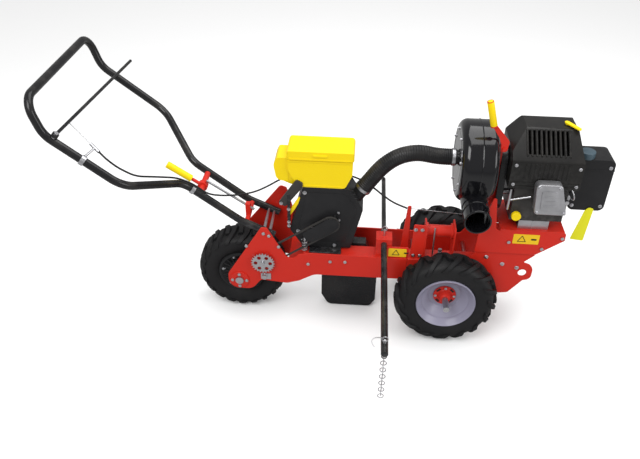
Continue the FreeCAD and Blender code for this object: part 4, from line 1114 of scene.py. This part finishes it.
@dataclass(frozen=True)
class Screws:
    """Equal screws as one piece: places in millimetres, the size across corners in metres."""

    name: str
    places: tuple[Point, ...]
    size: float
    aim: Point = (0, -1, 0)

    def build(self) -> None:
        """Make the screws."""
        form = Form()
        for place in self.places:
            form.bolt(Vector(place) * MM, self.aim, self.size)
        form.piece(self.name, ZINC, "chassis")


@dataclass(frozen=True)
class Label:
    """A plain yellow label with a triangle and a bar, without lettering.

    Corners are (x, z) in millimetres, face is the y of what it is stuck on in metres, and the
    triangle and the bar are placed in shares of the label's height.
    """

    name: str
    low: tuple[float, float]
    high: tuple[float, float]
    face: float
    film: float = 0.0006
    corner: float = 3.0
    sign_at: tuple[float, float] = (0.75, 0.44)
    sign_reach: float = 0.40
    sign_lift: float = 0.0007
    stroke: float = 0.0013
    bar_low: tuple[float, float] = (1.55, 0.42)
    bar_high: tuple[float, float] = (2.0, 0.58)
    bar_lift: tuple[float, float] = (0.0012, 0.0004)

    def place(self, share: Sequence[float], lift: float) -> Vector:
        """The point at a share of the label's height from its low corner, lifted off the face."""
        height = self.high[1] - self.low[1]
        x, z = self.low[0] + height * share[0], self.low[1] + height * share[1]
        return Vector((x * MM, self.face - lift, z * MM))

    def build(self) -> None:
        """Make the film and the marks on it."""
        (left, bottom), (right, top) = self.low, self.high
        corners = ((left, bottom), (right, bottom), (right, top), (left, top))
        outline = tuple((x, z, self.corner) for x, z in corners)
        Fitting(self.name, LABEL_YELLOW, (Plate(outline, self.face, self.film, steps=3),)).build()
        marks = Form()
        turns = [math.tau * index / 3 + math.pi / 2 for index in range(3)]
        tips = [
            self.place(
                (self.sign_at[0] + self.sign_reach * math.cos(turn),
                 self.sign_at[1] + self.sign_reach * math.sin(turn)), self.sign_lift)
            for turn in turns
        ]
        for start, end in zip(tips, [*tips[1:], tips[0]]):
            marks.rod(start, end, self.stroke, sides=6)
        marks.block(
            self.place(self.bar_low, self.bar_lift[0]), self.place(self.bar_high, self.bar_lift[1]))
        marks.piece(f"{self.name}_marks", LABEL_PRINT, "chassis")


def islands(mesh: bmesh.types.BMesh) -> list[list[bmesh.types.BMVert]]:
    """The separate shells of a mesh, each as its vertices."""
    seen: set[bmesh.types.BMVert] = set()
    found = []
    for first in mesh.verts:
        if first in seen:
            continue
        seen.add(first)
        shell, edge_of_shell = [first], [first]
        while edge_of_shell:
            for edge in edge_of_shell.pop().link_edges:
                for vert in edge.verts:
                    if vert not in seen:
                        seen.add(vert)
                        shell.append(vert)
                        edge_of_shell.append(vert)
        found.append(shell)
    return found


@dataclass(frozen=True)
class SplitNode:
    """A node whose solids show in two finishes, by where each one's middle lies along X."""

    node: str
    body: str
    split: float
    below: Finish
    above: Finish

    def build(self) -> None:
        """Make the solids below the split as one piece and those above it as another."""
        for word, finish, is_below in (("low", self.below, True), ("high", self.above, False)):
            form = node_form(self.node)
            unwanted = []
            for shell in islands(form.mesh):
                places = [vert.co.x for vert in shell]
                if ((min(places) + max(places)) / 2 < self.split) != is_below:
                    unwanted += shell
            bmesh.ops.delete(form.mesh, geom=unwanted, context="VERTS")
            replaces = [self.node] if is_below else []
            form.piece(f"{self.node}_{word}", finish, self.body, replaces, bevel=0.0008)


@dataclass(frozen=True)
class Assembly:
    """A named group of parts that are made in order."""

    name: str
    parts: tuple[Part, ...]

    def build(self) -> None:
        """Make every part."""
        for part in self.parts:
            part.build()


# ------------------------------------------------------------------ frame and seed unit

SHEET_METAL = Assembly("sheet metal", (
    Refined((
        "side_plate_right", "side_plate_left", "main_beam", "front_plate_right", "front_plate_left",
        "cradle_plates", "axle_gearbox", "tube_brackets", "drive_tube", "engine_plate", "fan_post",
        "handle_braces", "marker_clamp", "rear_bearings"), RED_PAINT, rounding=0.0010),
    Refined(("frame_bolts", "frame_spacers"), ZINC, rounding=0.0005),
    Refined(("drive_chains",), ENGINE_GREY, rounding=0.0004),
    Label("cradle_label", (238, 449), (338, 494), -0.110),
    Fitting("marker_plate", RED_PAINT, (
        Plate(((-262, 338, 2), (-158, 338, 2), (-158, 390, 5), (-262, 390, 5)),
              face=-0.093, depth=0.005, rim=0.0008),)),
    Fitting("rear_deck", RED_PAINT, (
        Block((-0.644, -0.086, 0.292), (-0.560, 0.097, 0.297), 0.001),)),
    Label("marker_label", (-238, 344), (-166, 384), -0.098),
    Screws("cradle_screws", ((218, -104, 341), (150, -104, 372), (278, -104, 326)), size=0.013),
    Screws("bracket_screws", (
        (-138, -93, 352), (-112, -93, 352), (-112, -93, 478), (-138, -93, 478)), size=0.012),
    Fitting("stand_spring", ZINC, (
        Bar((-0.578, -0.080, 0.338), (-0.578, -0.080, 0.404), 0.005),
        Coil((-0.578, -0.080, 0.345), (-0.578, -0.080, 0.392), 0.012, 0.0024, 4))),
    Fitting("drive_rods", ZINC, (
        Bar((-0.060, -0.080, 0.338), (-0.060, -0.066, 0.470), 0.0035),
        Bar((-0.052, -0.085, 0.350), (-0.010, -0.085, 0.350), 0.006, rim=0.001),
        Bar((-0.030, -0.070, 0.338), (-0.030, -0.070, 0.372), 0.009, sides=6, rim=0.001))),
))


def neck_ribs() -> tuple[Shape, ...]:
    """Four stepped ribs on the neck of the seed case, each shorter than the one below."""
    count, first, pitch, height = 4, 566, 18, 5
    return tuple(
        Block((-0.408, -0.0615, low * MM), (-0.366 - index * 0.008, -0.058, (low + height) * MM),
              0.0008)
        for index, low in enumerate(range(first, first + count * pitch, pitch)))


SEED_UNIT = Assembly("seed unit", (
    Refined(("seed_housing", "seed_cover"), BLACK_PLASTIC, rounding=0.0014),
    Refined(("seed_bracket",), BLACK_PAINT),
    Refined(("opener_guard",), BLACK_PAINT, rounding=0.0015),
    Refined(("hopper",), YELLOW, rounding=0.0),
    Refined(("hopper_lid",), YELLOW, rounding=0.0012, body="lid"),
    Screws("seed_cover_screws", (
        (-446, -60, 520), (-443, -60, 486), (-549, -60, 448), (-529, -60, 430), (-496, -60, 473),
        (-458, -60, 357), (-606, -60, 420), (-580, -60, 604)), size=0.0125),
    Fitting("seed_cover_panel", BLACK_PLASTIC, (
        Plate(((-560, 372, 14), (-415, 372, 14), (-372, 535, 16), (-420, 606, 14), (-572, 606, 14),
               (-604, 430, 14)), face=-0.060, depth=0.0016, rim=0.0006),)),
    Fitting("metering_chain_guard", BLACK_PLASTIC, (
        Plate(((-560, 388, 20), (-470, 440, 30), (-432, 486, 34), (-470, 522, 34), (-590, 432, 14)),
              face=-0.0975, depth=0.002, rim=0.0006),
        Bar((-0.548, -0.060, 0.412), (-0.548, -0.098, 0.412), 0.005),
        Bar((-0.458, -0.060, 0.504), (-0.458, -0.098, 0.504), 0.005))),
    Fitting("vacuum_arm", ENGINE_GREY, (
        Plate(((-613, 664, 8), (-585, 650, 8), (-590, 628, 10), (-655, 540, 8), (-684, 556, 8)),
              face=-0.058, depth=0.012, rim=0.002),)),
    Fitting("seed_gauge", YELLOW, (
        Plate(((-602, 584, 2), (-596, 574, 2), (-612, 536, 20), (-640, 490, 2), (-647, 482, 2),
               (-634, 530, 20)), face=-0.054, depth=0.006, rim=0.001),)),
    Screws("strap_screws", (
        (-642, -72, 531), (-642, -72, 470), (-642, -72, 452), (-672, -70, 556)), size=0.011),
    Fitting("neck_ribs", BLACK_PLASTIC, neck_ribs()),
    Fitting("hopper_seams", YELLOW, (
        Block((-0.644, -0.0612, 0.738), (-0.398, -0.0598, 0.745), 0.0005),
        Block((-0.602, -0.0612, 0.634), (-0.428, -0.0598, 0.639), 0.0005))),
    Fitting("hopper_fillet", YELLOW, (
        Plate(((-650, 700, 4), (-668, 650, 4), (-640, 636, 6), (-603, 630, 4), (-620, 672, 4)),
              face=0.050, depth=0.100, rim=0.002),)),
    Fitting("lid_lip", YELLOW, (
        Block((-0.548, -0.069, 0.766), (-0.494, -0.064, 0.776), 0.002),
        Block((-0.640, -0.0665, 0.7512), (-0.402, -0.0645, 0.7572), 0.0008)), "lid"),
))


# ------------------------------------------------------------------ vacuum line


@dataclass(frozen=True)
class Route:
    """A smooth curve led by its corners."""

    corners: tuple[Point, ...]
    arc_steps: int = 8

    def points(self, pitch: float) -> list[tuple[Vector, Vector]]:
        """Places at an even pitch along the curve.

        Args:
            pitch: distance between neighbouring places.

        Returns:
            Pairs of a place and the direction there.
        """
        knots = [Vector(corner) for corner in self.corners]
        fine = [knots[0]]
        for before, at, after in zip(knots, knots[1:], knots[2:]):
            reach = min((at - before).length, (after - at).length) / 2
            start = at + (before - at).normalized() * reach
            end = at + (after - at).normalized() * reach
            for step in range(self.arc_steps + 1):
                share = step / self.arc_steps
                fine.append(
                    start * (1 - share) ** 2 + at * 2 * share * (1 - share) + end * share ** 2)
        fine.append(knots[-1])
        made, carried = [], 0.0
        for first, second in zip(fine, fine[1:]):
            run = (second - first).length
            while run > 1e-9 and carried < run:
                ahead = (second - first).normalized()
                made.append((first + (second - first) * (carried / run), ahead))
                carried += pitch
            carried -= run
        return made


@dataclass
class VacuumLine:
    """The ribbed suction hose, the fan drum's beads and screws, and the outlet's beads."""

    name: str = "vacuum line"
    hose: Route = Route((
        (-0.358, -0.010, 0.600), (-0.324, -0.010, 0.652), (-0.285, -0.008, 0.708),
        (-0.225, -0.005, 0.757), (-0.150, -0.002, 0.774), (-0.080, 0.0, 0.759),
        (-0.007, 0.0, 0.759)))
    hose_radius: float = 0.031
    rib_pitch: float = 0.0085
    rib_wire: float = 0.0021
    fan_centre: Point = (0.0, 0.0, 0.7495)
    fan_radius: float = 0.1565
    fan_rim_at: float = 0.070
    screw_count: int = 8
    screw_circle: float = 118.0
    mouth: Point = (0.062, -0.2575, 0.640)

    def build(self) -> None:
        """Make the hose's ribs, the fan's beads and screws, and the outlet's beads."""
        ribs = Form()
        for place, aim in self.hose.points(self.rib_pitch)[1:-1]:
            seat = along(place, place + aim)
            ribs.ring(seat, self.hose_radius - 0.0006, self.rib_wire, steps=28, sides=6)
        ribs.piece("hose_ribs", HOSE_RUBBER, "chassis")
        beads = Form()
        ahead = Matrix.Translation(self.fan_centre) @ Matrix.Rotation(math.pi / 2, 4, "Y")
        for forward, radius, wire in (
            (self.fan_rim_at, self.fan_radius - 0.0008, 0.0026),
            (-0.001, 0.108, 0.0028),
            (-0.001, 0.060, 0.0022),
        ):
            beads.ring(ahead @ Matrix.Translation((0, 0, forward)), radius, wire, steps=96, sides=8)
        beads.piece("fan_beads", GLOSS_BLACK, "chassis")
        turns = [math.tau * (index + 0.5) / self.screw_count for index in range(self.screw_count)]
        height = self.fan_centre[2] / MM
        Screws("fan_screws", tuple(
            (-3, self.screw_circle * math.cos(turn), height + self.screw_circle * math.sin(turn))
            for turn in turns), 0.010, (-1, 0, 0)).build()
        collar = Form()
        mouth = Matrix.Translation(self.mouth) @ FACE_NEAR
        for back, radius, wire in ((0, 0.0475, 0.0024), (-0.060, 0.0478, 0.0018)):
            collar.ring(mouth @ Matrix.Translation((0, 0, back)), radius, wire, steps=48, sides=8)
        collar.piece("outlet_beads", GLOSS_BLACK, "chassis")


# ------------------------------------------------------------------ engine and controls


def louvres() -> tuple[Shape, ...]:
    """Bars between the slots of the sloping roof, ribs down the near face and two seams."""
    count, first, pitch, half = 10, 0.2335, 0.017, 0.0035
    bars: list[Shape] = []
    for x in (first + index * pitch for index in range(count)):
        bars.append(Bar((x, -0.090, 0.8265), (x, -0.006, 0.8935), 0.0036, sides=10))
        bars.append(Block((x - half, -0.1098, 0.742), (x + half, -0.1070, 0.806), 0.0008))
    bars.append(Block((0.186, -0.1105, 0.7005), (0.436, -0.1070, 0.712), 0.001))
    bars.append(Block((0.186, -0.1100, 0.722), (0.436, -0.1070, 0.728), 0.001))
    return tuple(bars)


ENGINE = Assembly("engine", (
    Refined(("engine_shroud",), ENGINE_COVER, rounding=0.0025),
    Refined(("engine_block",), ENGINE_GREY, rounding=0.002),
    Refined(("air_box",), BLACK_PLASTIC, rounding=0.002),
    Refined(("oil_cap",), YELLOW, rounding=0.0015),
    Refined(("carburettor",), ENGINE_ALLOY, rounding=0.001),
    Refined(("belt_guard",), BLACK_PAINT, rounding=0.001),
    Refined(("choke_lever",), YELLOW, rounding=0.001, body="choke"),
    Fitting("shroud_louvres", ENGINE_COVER, louvres()),
    Refined(("valve_cover",), ENGINE_ALLOY, rounding=0.003),
    Fitting("valve_cover_panel", ENGINE_ALLOY, (
        Plate(((302, 634, 8), (296, 716, 10), (352, 716, 10), (382, 634, 8)),
              face=-0.150, depth=0.003, rim=0.001),
        Block((0.312, -0.1545, 0.652), (0.358, -0.1525, 0.658), 0.0008),
        Block((0.312, -0.1545, 0.672), (0.358, -0.1525, 0.678), 0.0008),
        Block((0.312, -0.1545, 0.692), (0.358, -0.1525, 0.698), 0.0008))),
    Screws("valve_cover_screws", (
        (294, -150, 624), (392, -150, 624), (284, -150, 730), (358, -150, 730)), size=0.010),
    Fitting("engine_base_skin", ENGINE_ALLOY, (
        Block((0.2494, -0.0956, 0.5115), (0.3646, -0.0940, 0.5495), 0.0005),
        Block((0.2494, 0.0940, 0.5115), (0.3646, 0.0956, 0.5495), 0.0005),
        Block((0.300, -0.0975, 0.5115), (0.306, -0.0950, 0.5495), 0.0005))),
    Fitting("air_box_knob", KNOB_GREY, (
        Bar((0.476, 0.006, 0.782), (0.476, 0.006, 0.808), 0.029, sides=40, rim=0.003),)),
    Fitting("air_box_band", BLACK_PLASTIC, (
        Block((0.4405, -0.0215, 0.738), (0.5819, 0.0915, 0.744), 0.001),)),
    Screws("air_box_screws", ((566, -20, 582), (458, -20, 582), (566, -20, 752)), size=0.011),
    Screws("shroud_screws", (
        (196, -108, 716), (426, -108, 716), (196, -108, 796), (426, -108, 790)), size=0.010),
    Fitting("engine_linkage", ZINC, (
        Bar((0.404, -0.104, 0.650), (0.404, -0.118, 0.650), 0.009, rim=0.001),
        Bar((0.200, -0.096, 0.640), (0.270, -0.112, 0.668), 0.004),
        Bar((0.196, -0.098, 0.600), (0.196, -0.098, 0.690), 0.005),
        Wire(((0.405, -0.100, 0.715), (0.424, -0.118, 0.690), (0.430, -0.110, 0.655),
              (0.436, -0.06, 0.635)), 0.0026),
        Coil((0.392, -0.106, 0.700), (0.430, -0.070, 0.705), 0.005, 0.0009, 12))),
    Fitting("hanging_tag", TAG_YELLOW, (
        Plate(((511, 562, 6), (524, 577, 6), (544, 572, 6), (536, 418, 5), (483, 424, 5)),
              face=-0.0235, depth=0.0008, steps=3),)),
    Fitting("tag_ring", ZINC, (Loop((0.530, -0.022, 0.568), 0.006, 0.0008, steps=20, sides=6),)),
))

CONTROLS = Assembly("controls", (
    SplitNode("drive_lever", "steering_lever", -1.030, YELLOW, RED_PAINT),
    Refined(("clutch_lever",), RED_PAINT, rounding=0.0008, body="clutch"),
    Fitting("clutch_grip", YELLOW, (
        Bar((0.0975, -0.079, 0.934), (0.0702, -0.079, 1.0305), 0.0124, rim=0.004),), "clutch"),
    SplitNode("clutch_cable", "chassis", -0.161, CABLE_SHEATH, ZINC),
    Refined(("handlebar",), BLACK_PAINT, rounding=0.0),
    Refined(("bail_lever",), BLACK_PAINT, rounding=0.0008, body="bail"),
    Refined(("cable_clamps",), ZINC, rounding=0.0006),
    Refined(("marker_tube",), BLACK_PAINT, rounding=0.0006),
    Refined(("marker_rod",), BLACK_PAINT, rounding=0.0006, body="marker_arm"),
    Fitting("marker_pins", ZINC, (
        Bar((-0.258, -0.659, 0.3895), (-0.258, -0.659, 0.4205), 0.0044),
        Loop((-0.258, -0.659, 0.4255), 0.0105, 0.0018, steps=24, sides=8),
        Bar((-0.258, -0.060, 0.4165), (-0.258, -0.060, 0.4475), 0.0044),
        Loop((-0.258, -0.060, 0.4525), 0.0105, 0.0018, steps=24, sides=8),
        Wire(((-0.262, -0.652, 0.424), (-0.292, -0.640, 0.416), (-0.306, -0.652, 0.402),
              (-0.292, -0.668, 0.396)), 0.0018))),
))


# ------------------------------------------------------------------ nodes shown as they are

SLOT_FINISH = {
    finish.slot: finish for finish in (
        RED_PAINT, BLACK_PAINT, ZINC, TYRE_RUBBER, RIM_GREY, YELLOW, BLACK_PLASTIC, GLOSS_BLACK,
        ENGINE_ALLOY, ENGINE_COVER, HOSE_RUBBER, CABLE_SHEATH)
}


@dataclass
class BodyWork:
    """Every node that shows with its own shape."""

    name: str = "body work"

    def build(self) -> None:
        """Finish each node by the slot of its first material."""
        for node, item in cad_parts.items():
            if item.hide_render:
                continue
            found = next((slot.material.name for slot in item.material_slots if slot.material), "")
            matches = (made for slot, made in SLOT_FINISH.items() if found.startswith(slot))
            painted(node, next(matches, ZINC))




# ------------------------------------------------------------------ studio


@dataclass
class Studio:
    """The floor, the lights and the camera."""

    location: Point = (-0.374, -2.341, 2.059)
    yaw: float = -0.063
    pitch_degrees: float = 35.45
    roll: float = 0.015
    lens: float = 39.09
    sensor: float = 36.0
    surround: float = 0.85
    reflected: float = 0.34
    floor_seen: float = 0.92
    floor_bounce: float = 0.34
    floor_size: float = 30.0
    floor_roughness: float = 0.9
    floor_specular: float = 0.1
    view_range: float = 60.0
    middle: Point = (-0.4, 0.0, 0.4)

    def camera(self) -> None:
        """Place the camera and make it the scene's own."""
        made = bpy.data.cameras.new("camera")
        made.lens, made.sensor_width, made.clip_end = self.lens, self.sensor, self.view_range
        item = bpy.data.objects.new("camera", made)
        bpy.context.scene.collection.objects.link(item)
        pitch = math.radians(self.pitch_degrees)
        level = math.cos(pitch)
        ahead = Vector((math.sin(self.yaw) * level, math.cos(self.yaw) * level, -math.sin(pitch)))
        right = Vector((math.cos(self.yaw), -math.sin(self.yaw), 0))
        up = right.cross(ahead)
        tilted_right = right * math.cos(self.roll) + up * math.sin(self.roll)
        tilted_up = up * math.cos(self.roll) - right * math.sin(self.roll)
        basis = Matrix((tilted_right, tilted_up, -ahead)).transposed()
        item.matrix_world = Matrix.Translation(self.location) @ basis.to_4x4()
        bpy.context.scene.camera = item

    def floor(self) -> None:
        """A plain pale floor that runs far past the machine."""
        mesh = bpy.data.meshes.new("floor")
        work = bmesh.new()
        bmesh.ops.create_grid(work, x_segments=1, y_segments=1, size=self.floor_size)
        work.to_mesh(mesh)
        work.free()
        item = bpy.data.objects.new("floor", mesh)
        bpy.context.scene.collection.objects.link(item)
        material = bpy.data.materials.new("floor_paper")
        material.use_nodes = True
        nodes, links = material.node_tree.nodes, material.node_tree.links
        seen = nodes["Principled BSDF"]
        bounced = nodes.new("ShaderNodeBsdfDiffuse")
        seen.inputs["Base Color"].default_value = (*[self.floor_seen] * 3, 1)
        seen.inputs["Roughness"].default_value = self.floor_roughness
        seen.inputs["Specular IOR Level"].default_value = self.floor_specular
        bounced.inputs["Color"].default_value = (*[self.floor_bounce] * 3, 1)
        path, choice = nodes.new("ShaderNodeLightPath"), nodes.new("ShaderNodeMixShader")
        links.new(path.outputs["Is Camera Ray"], choice.inputs["Fac"])
        links.new(bounced.outputs[0], choice.inputs[1])
        links.new(seen.outputs[0], choice.inputs[2])
        links.new(choice.outputs[0], nodes["Material Output"].inputs["Surface"])
        mesh.materials.append(material)

    def lamp(self, name: str, place: Point, size: float, power: float) -> None:
        """A square soft light at place that looks at the machine's middle."""
        light = bpy.data.lights.new(name, "AREA")
        light.shape, light.size, light.energy = "SQUARE", size, power
        item = bpy.data.objects.new(name, light)
        bpy.context.scene.collection.objects.link(item)
        aim = (Vector(self.middle) - Vector(place)).to_track_quat("-Z", "Y")
        item.matrix_world = Matrix.Translation(place) @ aim.to_matrix().to_4x4()

    def lights(self) -> None:
        """A pale surround, a large light above and two softer side lights."""
        world = bpy.data.worlds.new("studio")
        world.use_nodes = True
        nodes, links = world.node_tree.nodes, world.node_tree.links
        sky = nodes["Background"]
        dim = nodes.new("ShaderNodeBackground")
        for background, strength in ((sky, self.surround), (dim, self.reflected)):
            background.inputs["Color"].default_value = (1.0, 1.0, 1.0, 1)
            background.inputs["Strength"].default_value = strength
        path, choice = nodes.new("ShaderNodeLightPath"), nodes.new("ShaderNodeMixShader")
        links.new(path.outputs["Is Glossy Ray"], choice.inputs["Fac"])
        links.new(sky.outputs[0], choice.inputs[1])
        links.new(dim.outputs[0], choice.inputs[2])
        links.new(choice.outputs[0], nodes["World Output"].inputs["Surface"])
        bpy.context.scene.world = world
        self.lamp("key", (-1.6, -2.4, 3.4), size=2.2, power=80)
        self.lamp("top", (0.3, 0.6, 3.6), size=2.8, power=60)
        self.lamp("fill", (2.6, -1.6, 1.8), size=1.8, power=34)

    def build(self) -> None:
        """Make the whole studio."""
        self.camera()
        self.floor()
        self.lights()
        bpy.context.scene.view_settings.view_transform = "Standard"


def main() -> None:
    """Build every sub-assembly in order, then the studio."""
    logging.basicConfig(level=logging.INFO, format="%(name)s: %(message)s")
    for assembly in ASSEMBLIES:
        LOG.info("building %s", assembly.name)
        assembly.build()
    Studio().build()


ASSEMBLIES = (Wheels(), SHEET_METAL, SEED_UNIT, VacuumLine(), ENGINE, CONTROLS, BodyWork())


if __name__ == "__main__":
    main()
